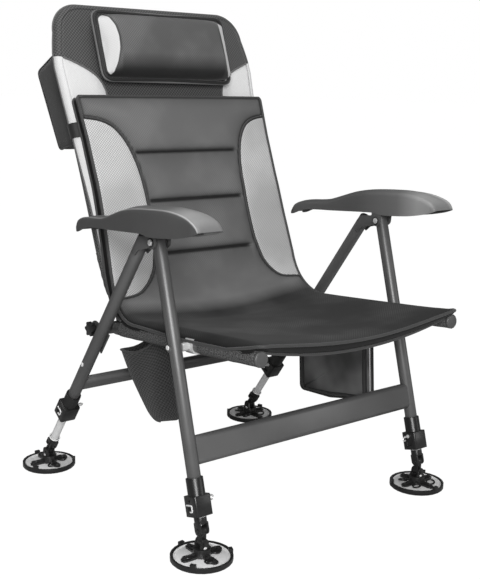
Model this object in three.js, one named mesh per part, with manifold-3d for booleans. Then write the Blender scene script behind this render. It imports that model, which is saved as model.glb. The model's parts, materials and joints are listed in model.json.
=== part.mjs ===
// A folding carp fishing chair: a reclining high-back chair on four telescopic legs with swivelling mud feet.
// Millimetres. X runs across the chair, Y from its front to its back, Z up, and the floor is z = 0.
// Every frame member lies in a plane of constant X, so a frame is drawn in its own tilted group.

import * as THREE from "three";
import { mergeVertices } from "three/addons/utils/BufferGeometryUtils.js";
import Module from "manifold-3d";

const wasm = await Module();
wasm.setup();

// Fits
const touch = 0.3; // between pieces that are fastened together
const run = 0.4; // between pieces that move on each other
const overrun = 2; // how far a cutting tool passes the face that it cuts
const mergeDistance = 1e-4;

// Stance: where the feet stand and how the legs lean
const frontFootAt = -293; // along Y
const rearFootAt = 287;
const legHalfWidth = 296; // from the middle plane to each leg
const footPinHeight = 36; // the swivel between a foot and its knuckle
const knuckleLength = 22; // from there to the swivel between the knuckle and the leg
const frontLean = THREE.MathUtils.degToRad(15.6);
const armPivotReach = 534.7; // along the front leg, from its ankle to the armrest pivot
const armPivotOffset = 40.4; // from the rear leg's axis forward to the armrest pivot

// Tubes
const legRadius = 13;
const legWall = 1.5;
const innerRadius = 9;
const innerWall = 1.5;
const innerLength = 250;
const seatRadius = 13;
const seatWall = 1.5;
const backRadius = 11;
const backWall = 1.5;

// Seat and back
const hingeAlong = 345.4; // along the rear leg, from its ankle to the seat hinge
const hingeBehind = 37.7; // from the rear leg's axis back to the seat hinge
const seatRise = THREE.MathUtils.degToRad(4.9);
const seatInside = 44; // from a leg's axis in to the axis of the seat tube
const seatHalfWidth = legHalfWidth - seatInside;
const seatLength = 503; // from the hinge to the face of the front cap
const backRecline = THREE.MathUtils.degToRad(19);
const backOver = 2; // from the seat tube's axis out to a back upright's, at the shoulders
const backHalfWidth = seatHalfWidth + backOver;
const backFootInside = 34; // and in to its foot, which stands between the seat tubes
const backFootHalfWidth = seatHalfWidth - backFootInside;
const backLength = 690; // from the hinge to the axis of the top rail
const backCornerRadius = 55;
const hingeClear = 42; // from the hinge to the ends of the seat and back tubes

// Counts of sides and steps
const tubeSides = 14;
const smallSides = 8;
const cornerSides = 4;
const footSides = 26;
const nutSides = 6;
const cornerSteps = 6;
const armCornerSteps = 3;
const seatColumns = 16;
const seatRows = 12;
const backColumns = 16;
const backRows = 20;
const pillowColumns = 14;
const pillowRows = 8;

// Finishes
function finish(colour, roughness, metalness) {
  return new THREE.MeshStandardMaterial({ color: colour, roughness, metalness });
}
const powderCoat = finish(0x3c3d3f, 0.45, 0.5);
const blackPlastic = finish(0x1c1c1d, 0.55, 0);
const armPlastic = finish(0x3a3b3c, 0.5, 0);
const brightTube = finish(0xd0d2d4, 0.3, 1);
const boltSteel = finish(0xb8babc, 0.35, 1);
const blackFabric = finish(0x222324, 0.9, 0);
const paleMesh = finish(0xc9cbcc, 0.9, 0);

const fullTurn = Math.PI * 2;
const halfTurn = Math.PI;
const quarterTurn = Math.PI / 2;

// Solids: a closed geometry becomes a manifold, and a manifold becomes a geometry again.
function solid(geometry) {
  const source = geometry.index ? geometry.toNonIndexed() : geometry;
  const bare = new THREE.BufferGeometry().setAttribute("position", source.getAttribute("position"));
  const merged = mergeVertices(bare, mergeDistance);
  return new wasm.Manifold(
    new wasm.Mesh({
      numProp: 3,
      vertProperties: merged.attributes.position.array,
      triVerts: new Uint32Array(merged.index.array),
    }),
  );
}

function geometryOf(body) {
  const mesh = body.getMesh();
  const geometry = new THREE.BufferGeometry();
  geometry.setAttribute("position", new THREE.BufferAttribute(new Float32Array(mesh.vertProperties), 3));
  geometry.setIndex(new THREE.BufferAttribute(new Uint32Array(mesh.triVerts), 1));
  const flat = geometry.toNonIndexed();
  flat.computeVertexNormals();
  return flat;
}

function join(...geometries) {
  return geometryOf(geometries.map(solid).reduce((sum, next) => sum.add(next)));
}

function cut(geometry, ...tools) {
  return geometryOf(tools.map(solid).reduce((left, tool) => left.subtract(tool), solid(geometry)));
}

// Outlines
function circle(radius) {
  const shape = new THREE.Shape();
  shape.absarc(0, 0, radius, 0, fullTurn, false);
  return shape;
}

function ring(outer, inner) {
  const shape = circle(outer);
  const hole = new THREE.Path();
  hole.absarc(0, 0, inner, 0, fullTurn, true);
  shape.holes.push(hole);
  return shape;
}

function roundedBar(width, height, radius) {
  const w = width / 2 - radius;
  const h = height / 2 - radius;
  const shape = new THREE.Shape();
  shape.absarc(w, -h, radius, -quarterTurn, 0, false);
  shape.absarc(w, h, radius, 0, quarterTurn, false);
  shape.absarc(-w, h, radius, quarterTurn, halfTurn, false);
  shape.absarc(-w, -h, radius, halfTurn, halfTurn + quarterTurn, false);
  shape.closePath();
  return shape;
}

// A plate with one round eye, and a foot whose corners are given.
function eyePlate(eye, radius, footA, footB) {
  const toA = Math.atan2(footA.y - eye.y, footA.x - eye.x);
  const toB = Math.atan2(footB.y - eye.y, footB.x - eye.x);
  const shape = new THREE.Shape();
  shape.moveTo(footA.x, footA.y);
  const start = toA - Math.acos(Math.min(1, radius / footA.distanceTo(eye)));
  const end = toB + Math.acos(Math.min(1, radius / footB.distanceTo(eye)));
  shape.lineTo(eye.x + radius * Math.cos(start), eye.y + radius * Math.sin(start));
  shape.absarc(eye.x, eye.y, radius, start, end, true);
  shape.lineTo(footB.x, footB.y);
  shape.closePath();
  return shape;
}

// Extrusions along Z, along X with the outline drawn on Y and Z, and along Y with it drawn on X and Z
function extrude(shape, depth, sides, start = 0) {
  const options = { depth, bevelEnabled: false, curveSegments: sides / 2 };
  return new THREE.ExtrudeGeometry(shape, options).translate(0, 0, start);
}

const alongX = new THREE.Matrix4().set(0, 0, 1, 0, 1, 0, 0, 0, 0, 1, 0, 0, 0, 0, 0, 1);

function extrudeX(shape, from, to, sides = smallSides) {
  return extrude(shape, to - from, sides).applyMatrix4(alongX).translate(from, 0, 0);
}

function extrudeForward(shape, from, to, sides = smallSides) {
  return extrude(shape, to - from, sides, from).rotateX(quarterTurn);
}

function rod(radius, from, to, y, z, sides = smallSides) {
  return extrudeX(circle(radius), from, to, sides).translate(0, y, z);
}

// A path with a station at each given point, so that bends get their steps and straights get none.
class StationPath extends THREE.Curve {
  constructor(points) {
    super();
    this.points = points;
  }
  getPoint(share, target = new THREE.Vector3()) {
    const place = share * (this.points.length - 1);
    const index = Math.min(Math.floor(place), this.points.length - 2);
    return target.lerpVectors(this.points[index], this.points[index + 1], place - index);
  }
  getPointAt(share, target) {
    return this.getPoint(share, target);
  }
  getTangentAt(share, target = new THREE.Vector3()) {
    const last = this.points.length - 1;
    const index = Math.round(share * last);
    const before = this.points[Math.max(index - 1, 0)];
    const after = this.points[Math.min(index + 1, last)];
    return target.subVectors(after, before).normalize();
  }
  getSpacedPoints() {
    return this.points.map((point) => point.clone());
  }
}

function sweep(shape, points, sides) {
  const path = new StationPath(points);
  return new THREE.ExtrudeGeometry(shape, {
    steps: points.length - 1,
    extrudePath: path,
    curveSegments: sides / 2,
  });
}

// A closed skin through a grid of front points and a grid of back points that share their rim.
function quilt(columns, rows, front, back) {
  const positions = [];
  const at = (side, i, j) => side(i / columns, j / rows);
  const triangle = (a, b, c) => positions.push(...a.toArray(), ...b.toArray(), ...c.toArray());
  for (let i = 0; i < columns; i++)
    for (let j = 0; j < rows; j++) {
      const corners = (side) =>
        [[i, j], [i + 1, j], [i + 1, j + 1], [i, j + 1]].map(([across, along]) => at(side, across, along));
      const [a, b, c, d] = corners(front);
      triangle(a, b, c);
      triangle(a, c, d);
      const [e, f, g, h] = corners(back);
      triangle(e, g, f);
      triangle(e, h, g);
    }
  const wall = (u0, v0, u1, v1) => {
    const [a, b] = [front(u0, v0), front(u1, v1)];
    const [c, d] = [back(u0, v0), back(u1, v1)];
    triangle(b, a, c);
    triangle(b, c, d);
  };
  for (let i = 0; i < columns; i++) {
    wall(i / columns, 0, (i + 1) / columns, 0);
    wall((i + 1) / columns, 1, i / columns, 1);
  }
  for (let j = 0; j < rows; j++) {
    wall(1, j / rows, 1, (j + 1) / rows);
    wall(0, (j + 1) / rows, 0, j / rows);
  }
  const geometry = new THREE.BufferGeometry();
  geometry.setAttribute("position", new THREE.Float32BufferAttribute(positions, 3));
  geometry.computeVertexNormals();
  return geometry;
}

// A loft through closed sections with equal numbers of points, flat at both ends.
function loft(sections) {
  const positions = [];
  const triangle = (a, b, c) => positions.push(...a.toArray(), ...b.toArray(), ...c.toArray());
  for (let k = 0; k + 1 < sections.length; k++) {
    const [near, far] = [sections[k], sections[k + 1]];
    near.forEach((point, i) => {
      const next = (i + 1) % near.length;
      triangle(point, near[next], far[next]);
      triangle(point, far[next], far[i]);
    });
  }
  const cap = (section, reverse) => {
    for (let i = 1; i + 1 < section.length; i++) {
      if (reverse) triangle(section[0], section[i + 1], section[i]);
      else triangle(section[0], section[i], section[i + 1]);
    }
  };
  cap(sections[0], true);
  cap(sections[sections.length - 1], false);
  const geometry = new THREE.BufferGeometry();
  geometry.setAttribute("position", new THREE.Float32BufferAttribute(positions, 3));
  geometry.computeVertexNormals();
  return geometry;
}

function add(parent, name, geometry, material) {
  const mesh = new THREE.Mesh(geometry, material);
  mesh.name = name;
  parent.add(mesh);
  return mesh;
}

// Places worked out from the stance
const frontAnkle = new THREE.Vector2(frontFootAt, footPinHeight + knuckleLength);
const armPivot = new THREE.Vector2(
  frontAnkle.x + armPivotReach * Math.sin(frontLean),
  frontAnkle.y + armPivotReach * Math.cos(frontLean),
);
// A rear knuckle lies in line with its leg, so the leg's axis runs through the foot's own pin.
const pivotToRearPin = Math.hypot(rearFootAt - armPivot.x, armPivot.y - footPinHeight);
const pivotLean = Math.atan2(rearFootAt - armPivot.x, armPivot.y - footPinHeight);
const rearLean = pivotLean - Math.asin(armPivotOffset / pivotToRearPin);
const rearAnkle = new THREE.Vector2(
  rearFootAt - knuckleLength * Math.sin(rearLean),
  footPinHeight + knuckleLength * Math.cos(rearLean),
);
const armPivotAlongRear = Math.sqrt(pivotToRearPin ** 2 - armPivotOffset ** 2) - knuckleLength;
const hinge = new THREE.Vector2(
  rearAnkle.x - hingeAlong * Math.sin(rearLean) + hingeBehind * Math.cos(rearLean),
  rearAnkle.y + hingeAlong * Math.cos(rearLean) + hingeBehind * Math.sin(rearLean),
);
// The front leg crosses the seat tube here, measured along the seat tube and along the leg.
const crossing = (() => {
  const leg = new THREE.Vector2(Math.sin(frontLean), Math.cos(frontLean));
  const tube = new THREE.Vector2(-Math.cos(seatRise), Math.sin(seatRise));
  const dy = hinge.x - frontAnkle.x;
  const dz = hinge.y - frontAnkle.y;
  const turn = leg.x * tube.y - leg.y * tube.x;
  return {
    onLeg: (dy * tube.y - dz * tube.x) / turn,
    onSeat: (dy * leg.y - dz * leg.x) / turn,
  };
})();

const chair = new THREE.Group();

function tiltedGroup(y, z, angle) {
  const group = new THREE.Group();
  group.position.set(0, y, z);
  group.rotation.x = angle;
  chair.add(group);
  return group;
}
const frontFrame = tiltedGroup(frontAnkle.x, frontAnkle.y, -frontLean);
const rearFrame = tiltedGroup(rearAnkle.x, rearAnkle.y, rearLean);
const seatFrame = tiltedGroup(hinge.x, hinge.y, -seatRise);
const backFrame = tiltedGroup(hinge.x, hinge.y, -backRecline);
const upright = tiltedGroup(0, 0, 0);

const sides = [
  ["left", -1],
  ["right", 1],
];

// Leg locks: a sleeve on the outer tube and a square block that holds the spring pin
const lockBlock = 37;
const lockBlockLength = 38;
const lockCorner = 4;
const lockSleeveRadius = 16.5;
const lockSleeveLength = 32;
const lockWindowWidth = 15;
const lockWindowHeight = 14;
const lockWindowDepth = 3;
const lockWindowUp = 16; // centre of the window above the bottom of the block
const pinUp = 30; // the pin above the bottom of the block
const pinRadius = 2.2;
const pinReach = 17; // how far the pin stands out of the block
const pinHookRadius = 4;
const pinWireRadius = 1.8;
const pinCollarRadius = 4.2;
const pinCollarLength = 2;
const frontLockUp = 28; // bottom of the block above the ankle, along the leg
const rearLockUp = 107;

function lockGeometry() {
  const block = extrude(roundedBar(lockBlock, lockBlock, lockCorner), lockBlockLength, cornerSides);
  const reach = lockSleeveLength + overrun;
  const sleeve = extrude(circle(lockSleeveRadius), reach, tubeSides, lockBlockLength - overrun);
  const socket = extrude(circle(legRadius + touch), reach, tubeSides, lockBlockLength);
  const bore = extrude(circle(innerRadius + run), lockBlockLength + 2 * overrun, tubeSides, -overrun);
  const window = new THREE.BoxGeometry(lockWindowDepth * 2, lockWindowWidth, lockWindowHeight);
  const windows = sides.map(([, side]) =>
    window.clone().translate((side * lockBlock) / 2, 0, lockWindowUp),
  );
  const pinHole = rod(pinRadius + run, -lockBlock / 2 - overrun, lockBlock / 2 + overrun, 0, pinUp);
  return cut(join(block, sleeve), socket, bore, pinHole, ...windows);
}

// The pin points at the tube; its wire hook curls down on the inner side of the leg.
function pinGeometry(side) {
  const tip = innerRadius + run + touch;
  const face = lockBlock / 2;
  const end = face + pinReach - pinHookRadius;
  const stem = rod(pinRadius, tip, end, 0, 0);
  const collar = rod(pinCollarRadius, face + run, face + run + pinCollarLength, 0, 0);
  const hookStart = new THREE.Vector3(end - overrun, 0, 0);
  const points = [hookStart];
  for (let i = 0; i <= cornerSteps; i++) {
    const angle = quarterTurn - (i / cornerSteps) * (halfTurn + quarterTurn / 2);
    points.push(
      new THREE.Vector3(
        end + pinHookRadius * Math.cos(angle),
        0,
        -pinHookRadius + pinHookRadius * Math.sin(angle),
      ),
    );
  }
  const hook = sweep(circle(pinWireRadius), points, smallSides / 2);
  const geometry = join(stem, collar, hook).translate(0, 0, pinUp);
  return side > 0 ? geometry.rotateZ(halfTurn) : geometry;
}

// Telescopic tube with its ferrule and the fork that carries the ankle
const ferruleRadius = 12;
const ferruleFrom = 13;
const ferruleTo = 26;
const forkGap = 12; // between the cheeks, where the knuckle turns
const forkCheek = 4;
const forkRadius = 9;
const anklePinRadius = 3;
const ankleHeadRadius = 4.5;
const ankleHeadHeight = 2;

function innerTubeGeometry() {
  const tube = extrude(circle(innerRadius), innerLength, tubeSides, ferruleFrom);
  const bore = extrude(circle(innerRadius - innerWall), innerLength, smallSides, ferruleTo);
  const ferrule = extrude(circle(ferruleRadius), ferruleTo - ferruleFrom, tubeSides, ferruleFrom);
  const cheekInner = forkGap / 2 + run;
  const cheekShape = eyePlate(
    new THREE.Vector2(0, 0),
    forkRadius,
    new THREE.Vector2(forkRadius, ferruleFrom + overrun),
    new THREE.Vector2(-forkRadius, ferruleFrom + overrun),
  );
  const parts = [ferrule];
  const span = cheekInner + forkCheek;
  parts.push(extrudeX(cheekShape, -span, -cheekInner));
  parts.push(extrudeX(cheekShape, cheekInner, span));
  parts.push(rod(anklePinRadius, -span, span, 0, 0));
  parts.push(rod(ankleHeadRadius, -span - ankleHeadHeight, -span + overrun, 0, 0));
  parts.push(rod(ankleHeadRadius, span - overrun, span + ankleHeadHeight, 0, 0));
  return cut(join(tube, ...parts), bore);
}

// Knuckle: an upper eye across the chair and a lower eye along it
const knuckleWidth = 12;
const knuckleEye = 8;

function knuckleGeometry() {
  const drop = knuckleLength;
  const half = knuckleWidth / 2;
  const upper = rod(knuckleEye, -half, half, 0, 0, tubeSides);
  const lower = rod(knuckleEye, -half, half, 0, 0, tubeSides).rotateZ(quarterTurn).translate(0, 0, -drop);
  const neck = new THREE.BoxGeometry(knuckleWidth, knuckleWidth, drop).translate(0, 0, -drop / 2);
  const reach = knuckleEye + overrun;
  const upperBore = rod(anklePinRadius + run, -reach, reach, 0, 0);
  const lowerBore = upperBore.clone().rotateZ(quarterTurn).translate(0, 0, -drop);
  return cut(join(upper, lower, neck), upperBore, lowerBore);
}

// Mud foot: a dished disc with a raised rim, three rim lugs and a recessed sole
const discRadius = 59;
const rimHeight = 11;
const rimWidth = 4;
const dishHeight = 8;
const soleRecess = 3;
const soleLip = 9; // width of the ring that meets the ground
const soleChamfer = 2;
const rimLugs = 3;
const rimLugWidth = 11;
const rimLugHeight = 17;
const rimLugDepth = 7;
// Spider: four ribbed arms that bolt to the dish, and two ears for the sideways swivel
// Each foot stands turned by its own amount, left and right.
const footTurns = {
  front: [-143, -93].map(THREE.MathUtils.degToRad),
  rear: [-150, -100].map(THREE.MathUtils.degToRad),
};
const armCount = 4;
const spiderReach = 46;
const spiderWidth = 15;
const spiderThickness = 4;
const spiderRib = 9;
const spiderRibWidth = 3;
const spiderHubRadius = 17;
const spiderHubTop = 25;
const spiderBoltRadius = 4.2;
const spiderBoltHeight = 3;
const earThickness = 4;
const earRadius = 8;
const earFootShare = 1.6; // half the foot of an ear, of its radius

function mudFootGeometry() {
  const profile = [
    [0, soleRecess],
    [discRadius - soleLip - soleChamfer, soleRecess],
    [discRadius - soleLip, 0],
    [discRadius - soleChamfer, 0],
    [discRadius, soleChamfer],
    [discRadius, rimHeight],
    [discRadius - rimWidth, rimHeight],
    [discRadius - rimWidth, dishHeight],
    [0, dishHeight],
  ].map(([r, z]) => new THREE.Vector2(r, z));
  const disc = new THREE.LatheGeometry(profile, footSides).rotateX(quarterTurn);
  const lugs = [];
  for (let i = 0; i < rimLugs; i++) {
    const lug = new THREE.BoxGeometry(rimLugDepth, rimLugWidth, rimLugHeight - soleChamfer);
    lug.translate(discRadius - rimLugDepth / 2, 0, soleChamfer + (rimLugHeight - soleChamfer) / 2);
    lugs.push(lug.rotateZ((i / rimLugs) * fullTurn));
  }
  return join(disc, ...lugs);
}

function spiderGeometry() {
  const base = dishHeight + touch;
  const parts = [extrude(circle(spiderHubRadius), spiderHubTop - base, tubeSides, base)];
  for (let i = 0; i < armCount; i++) {
    const turn = (i / armCount) * fullTurn;
    const tip = spiderReach - spiderWidth / 2;
    const ribLength = tip - spiderBoltRadius - overrun;
    const boltTop = spiderThickness + spiderBoltHeight;
    const arm = join(
      new THREE.BoxGeometry(tip, spiderWidth, spiderThickness)
        .translate(tip / 2, 0, base + spiderThickness / 2),
      extrude(circle(spiderWidth / 2), spiderThickness, smallSides, base).translate(tip, 0, 0),
      extrude(circle(spiderBoltRadius), boltTop, smallSides, base).translate(tip, 0, 0),
      new THREE.BoxGeometry(ribLength, spiderRibWidth, spiderRib)
        .translate(ribLength / 2, 0, base + spiderRib / 2),
    );
    parts.push(arm.rotateZ(turn));
  }
  const earInner = knuckleWidth / 2 + run;
  const earShape = eyePlate(
    new THREE.Vector2(0, footPinHeight),
    earRadius,
    new THREE.Vector2(-earRadius * earFootShare, base + spiderThickness),
    new THREE.Vector2(earRadius * earFootShare, base + spiderThickness),
  );
  const ear = extrudeX(earShape, earInner, earInner + earThickness).rotateZ(quarterTurn);
  parts.push(ear, ear.clone().rotateZ(halfTurn));
  const span = earInner + earThickness;
  const pin = rod(anklePinRadius, -span, span, 0, footPinHeight).rotateZ(quarterTurn);
  const heads = sides.map(([, side]) =>
    rod(ankleHeadRadius, 0, ankleHeadHeight + overrun, 0, footPinHeight)
      .translate(span - overrun, 0, 0)
      .rotateZ(side * quarterTurn),
  );
  return join(...parts, pin, ...heads);
}

// Frame members between the legs
const frontBarUp = 146; // along the leg, above the ankle
const frontBarHeight = 54.5;
const frontBarDepth = 20;
const rearBarUp = 213;
const rearBarHeight = 34;
const rearBarDepth = 19;

function crossbarGeometry(height, depth, up) {
  const reach = legHalfWidth;
  const bar = extrudeX(roundedBar(depth, height, depth / 2 - touch), -reach, reach).translate(0, 0, up);
  const copes = sides.map(([, side]) =>
    extrude(circle(legRadius + touch), height + 2 * overrun, tubeSides, up - height / 2 - overrun)
      .translate(side * legHalfWidth, 0, 0),
  );
  const far = legHalfWidth + legRadius;
  const trims = sides.map(([, side]) =>
    new THREE.BoxGeometry(legRadius * 2, depth * 2, height * 2).translate(side * far, 0, up),
  );
  return cut(bar, ...copes, ...trims);
}

// Armrest pivot: fork, bolt and the tops of the legs
const pivotBoltRadius = 4;
const pivotHeadRadius = 6.5;
const pivotHeadHeight = 1.7;
const pivotNutHeight = 3;
const forkPlate = 2.4;
const forkEyeRadius = 12;
const forkPlug = 30; // length of the fork's plug in the mouth of the rear leg
const forkCap = 4; // thickness of the cap over that mouth
const forkSkirt = 20; // how far the cheeks reach down beside the leg
const legTopBeyond = 12; // front leg above its pivot
const rearLegShort = 41; // rear leg below the foot of the armrest pivot
const crossBoltRadius = 5.5;
const crossBoltHeight = 2.5;

function frontLegGeometry(side) {
  const from = frontLockUp + lockBlockLength + touch;
  const length = armPivotReach + legTopBeyond - from;
  const tube = extrude(ring(legRadius, legRadius - legWall), length, tubeSides, from);
  const bore = rod(pivotBoltRadius + run, -legRadius - overrun, legRadius + overrun, 0, armPivotReach);
  const head = rod(crossBoltRadius, legRadius - legWall, legRadius + crossBoltHeight, 0, crossing.onLeg);
  if (side < 0) head.rotateZ(halfTurn);
  return join(cut(tube, bore), head).translate(side * legHalfWidth, 0, 0);
}

function rearLegGeometry(side) {
  const from = rearLockUp + lockBlockLength + touch;
  const to = armPivotAlongRear - rearLegShort;
  return extrude(ring(legRadius, legRadius - legWall), to - from, tubeSides, from)
    .translate(side * legHalfWidth, 0, 0);
}

// The fork has a plug in the rear leg's mouth, a cap over it, and two cheeks that run forward to the pivot.
function armForkGeometry(side) {
  const inner = legRadius + run;
  const outer = inner + forkPlate;
  const mouth = armPivotAlongRear - rearLegShort;
  const capTop = mouth + touch + forkCap;
  const eye = new THREE.Vector2(-armPivotOffset, armPivotAlongRear);
  const cheek = eyePlate(
    eye,
    forkEyeRadius,
    new THREE.Vector2(-legRadius, mouth - forkSkirt),
    new THREE.Vector2(legRadius, capTop),
  );
  const cap = new THREE.BoxGeometry(outer * 2, legRadius * 2, forkCap).translate(0, 0, capTop - forkCap / 2);
  const plug = extrude(circle(legRadius - legWall - touch), forkPlug + overrun, tubeSides, mouth - forkPlug);
  const cheeks = [extrudeX(cheek, -outer, -inner), extrudeX(cheek, inner, outer)];
  const bore = rod(pivotBoltRadius + touch, -outer - overrun, outer + overrun, eye.x, eye.y);
  return cut(join(...cheeks, cap, plug), bore).translate(side * legHalfWidth, 0, 0);
}

const armLug = 2.4; // wall and lug thickness of the armrest moulding
const lugInner = legRadius + run + forkPlate + run; // from the leg's axis to the inside of a lug

function pivotBoltGeometry(side) {
  const reach = lugInner + armLug + run;
  const shaft = rod(pivotBoltRadius, -reach - overrun / 2, reach + overrun / 2, 0, 0);
  const head = rod(pivotHeadRadius, -reach - pivotHeadHeight, -reach, 0, 0);
  const nut = rod(pivotHeadRadius, reach, reach + pivotNutHeight, 0, 0, nutSides);
  const bolt = join(shaft, head, nut);
  if (side < 0) bolt.rotateZ(halfTurn);
  return bolt.translate(side * legHalfWidth, -armPivotOffset, armPivotAlongRear);
}

// Plate that joins the rear leg to the seat hinge, with the spacer boss that the hinge stud runs in
const hingePlate = 3.2;
const hingeEye = 16;
const hingeFootHalf = 28;
const hingeFootShare = 0.7; // how far the plate's foot lies across the leg, of its radius
const hingeNeckShare = 0.55; // half the bracket's neck at the tube, of its eye
const bossRadius = 9;
const studRadius = 4;
const tongueHalf = 1.8;

function rearHingePlateGeometry(side) {
  const outerFace = legHalfWidth - legRadius - run;
  const shape = eyePlate(
    new THREE.Vector2(hingeBehind, hingeAlong),
    hingeEye,
    new THREE.Vector2(-legRadius * hingeFootShare, hingeAlong + hingeFootHalf),
    new THREE.Vector2(-legRadius * hingeFootShare, hingeAlong - hingeFootHalf),
  );
  const plate = extrudeX(shape, outerFace - hingePlate, outerFace);
  const bossEnd = seatHalfWidth + tongueHalf + run;
  const bossRoot = outerFace - hingePlate + overrun / 2;
  const boss = rod(bossRadius, bossEnd, bossRoot, hingeBehind, hingeAlong, tubeSides);
  const bore = rod(studRadius + run, bossEnd - overrun, outerFace + overrun, hingeBehind, hingeAlong);
  const geometry = cut(join(plate, boss), bore);
  return side > 0 ? geometry : mirrored(geometry);
}

// The other hand of a piece: its X is reversed and its faces are turned round again.
function mirrored(geometry) {
  const flat = geometry.index ? geometry.toNonIndexed() : geometry.clone();
  flat.scale(-1, 1, 1);
  const place = flat.getAttribute("position");
  for (let i = 0; i < place.count; i += 3) {
    const [x, y, z] = [place.getX(i + 1), place.getY(i + 1), place.getZ(i + 1)];
    place.setXYZ(i + 1, place.getX(i + 2), place.getY(i + 2), place.getZ(i + 2));
    place.setXYZ(i + 2, x, y, z);
  }
  flat.computeVertexNormals();
  return flat;
}

// Star knob with its stud
const knobLobes = 6;
const knobRadius = 12;
const knobLobeRadius = 4;
const knobHubRadius = 7;
const knobHubLength = 5;
const knobThickness = 10;
const studHeadRadius = 7;
const studHeadHeight = 3;

function starKnobGeometry(side) {
  const hubFrom = legHalfWidth - legRadius;
  const hubTo = hubFrom + knobHubLength;
  const studEnd = backFootHalfWidth - tongueHalf - run;
  const parts = [
    rod(studRadius, studEnd - overrun, hubFrom + overrun, 0, 0),
    rod(studHeadRadius, studEnd - studHeadHeight, studEnd, 0, 0),
    rod(knobHubRadius, hubFrom, hubTo + overrun, 0, 0, tubeSides),
    rod(knobRadius, hubTo, hubTo + knobThickness, 0, 0, tubeSides),
  ];
  for (let i = 0; i < knobLobes; i++) {
    const angle = (i / knobLobes) * fullTurn;
    const [y, z] = [knobRadius * Math.cos(angle), knobRadius * Math.sin(angle)];
    parts.push(rod(knobLobeRadius, hubTo, hubTo + knobThickness, y, z));
  }
  const geometry = join(...parts);
  return (side > 0 ? geometry : mirrored(geometry)).translate(0, hinge.x, hinge.y);
}

// Seat frame
const capLength = 7;
const capRadius = 15;
const capDome = 2;
const plugLength = 14;
const saddleRadius = 16.5;
const saddleLength = 26;
const saddleBossRadius = 8;

function seatTubeGeometry(side) {
  const to = seatLength - capLength;
  return extrudeForward(ring(seatRadius, seatRadius - seatWall), hingeClear, to, tubeSides)
    .translate(side * seatHalfWidth, 0, 0);
}

function seatCapGeometry(side) {
  const plug = seatRadius - seatWall - touch;
  const back = seatLength - capLength + touch;
  const profile = [
    [0, back - plugLength],
    [plug, back - plugLength],
    [plug, back],
    [capRadius, back],
    [capRadius, seatLength - capDome],
    [capRadius - capDome, seatLength],
    [0, seatLength],
  ].map(([r, z]) => new THREE.Vector2(r, z));
  return new THREE.LatheGeometry(profile, tubeSides)
    .rotateX(quarterTurn)
    .rotateX(quarterTurn)
    .translate(side * seatHalfWidth, 0, 0);
}

function hingeBracketGeometry(side) {
  const plug = seatRadius - seatWall - touch;
  const shape = eyePlate(
    new THREE.Vector2(0, 0),
    hingeEye,
    new THREE.Vector2(-hingeClear + touch, hingeEye * hingeNeckShare),
    new THREE.Vector2(-hingeClear + touch, -hingeEye * hingeNeckShare),
  );
  const plate = extrudeX(shape, -tongueHalf, tongueHalf);
  const bossEnd = backFootHalfWidth + tongueHalf + run - seatHalfWidth;
  const boss = rod(bossRadius, bossEnd, 0, 0, 0, tubeSides);
  const collarTo = hingeClear - touch;
  const collar = extrudeForward(circle(seatRadius), collarTo - capLength / 2, collarTo, tubeSides);
  const spigot = extrudeForward(circle(plug), hingeClear - overrun, hingeClear + plugLength, tubeSides);
  const bore = rod(studRadius + run, bossEnd - overrun, tongueHalf + overrun, 0, 0);
  const geometry = cut(join(plate, boss, collar, spigot), bore).translate(seatHalfWidth, 0, 0);
  return side > 0 ? geometry : mirrored(geometry);
}

function saddleGeometry(side) {
  const from = crossing.onSeat - saddleLength / 2;
  const to = from + saddleLength;
  const band = extrudeForward(circle(saddleRadius), from, to, tubeSides);
  const hole = extrudeForward(circle(seatRadius + touch), from - overrun, to + overrun, tubeSides);
  const bossEnd = legHalfWidth - legRadius - run - seatHalfWidth;
  const boss = rod(saddleBossRadius, 0, bossEnd, -crossing.onSeat, 0, tubeSides);
  const geometry = cut(join(band, boss), hole).translate(seatHalfWidth, 0, 0);
  return side > 0 ? geometry : mirrored(geometry);
}

// Seat cloth: a sling between sleeves on the seat tubes, and the padded seat that lies on it
const clothThickness = 1.4;
const slingThickness = 2;
const slingSag = 30;
const slingEdgeUp = 13.6;
const slingFrom = 60;
const slingTo = seatLength - capLength;
const sleeveGap = 28; // half the bare stretch of tube at the saddle
const padFrom = 46;
const padOver = 9; // how far the padded seat stands over the caps
const padTo = seatLength + padOver;
const padEdge = 9;
const padCrown = 20;
const padLift = 0.6;

const slingHeight = (x) => slingEdgeUp - slingSag * (1 - (x / seatHalfWidth) ** 2);

function seatSlingGeometry() {
  const columns = seatColumns;
  const x = (u) => (2 * u - 1) * seatHalfWidth;
  const top = (u, v) => new THREE.Vector3(x(u), -slingTo + v * (slingTo - slingFrom), slingHeight(x(u)));
  const under = (u, v) => top(u, v).add(new THREE.Vector3(0, 0, -slingThickness));
  const sheet = quilt(columns, 1, top, under);
  const outer = seatRadius + touch + clothThickness;
  const parts = [sheet];
  const tools = [];
  for (const [, side] of sides) {
    const [gapFrom, gapTo] = [crossing.onSeat - sleeveGap, crossing.onSeat + sleeveGap];
    const stretches = [
      [slingFrom, gapFrom],
      [gapTo, slingTo - touch],
    ];
    for (const [from, to] of stretches)
      parts.push(extrudeForward(circle(outer), from, to, tubeSides).translate(side * seatHalfWidth, 0, 0));
    tools.push(
      extrudeForward(circle(seatRadius + touch), slingFrom - overrun, slingTo + overrun, tubeSides)
        .translate(side * seatHalfWidth, 0, 0),
    );
    tools.push(
      extrudeForward(circle(saddleRadius + touch), gapFrom, gapTo, tubeSides)
        .translate(side * seatHalfWidth, 0, 0),
    );
  }
  return cut(join(...parts), ...tools);
}

// The crown is full in the middle and drawn in towards the bound edge.
function crown(u, v) {
  const across = 1 - Math.abs(2 * u - 1) ** 4;
  const along = 1 - Math.abs(2 * v - 1) ** 8;
  return Math.max(across, 0) * Math.max(along, 0);
}

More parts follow.
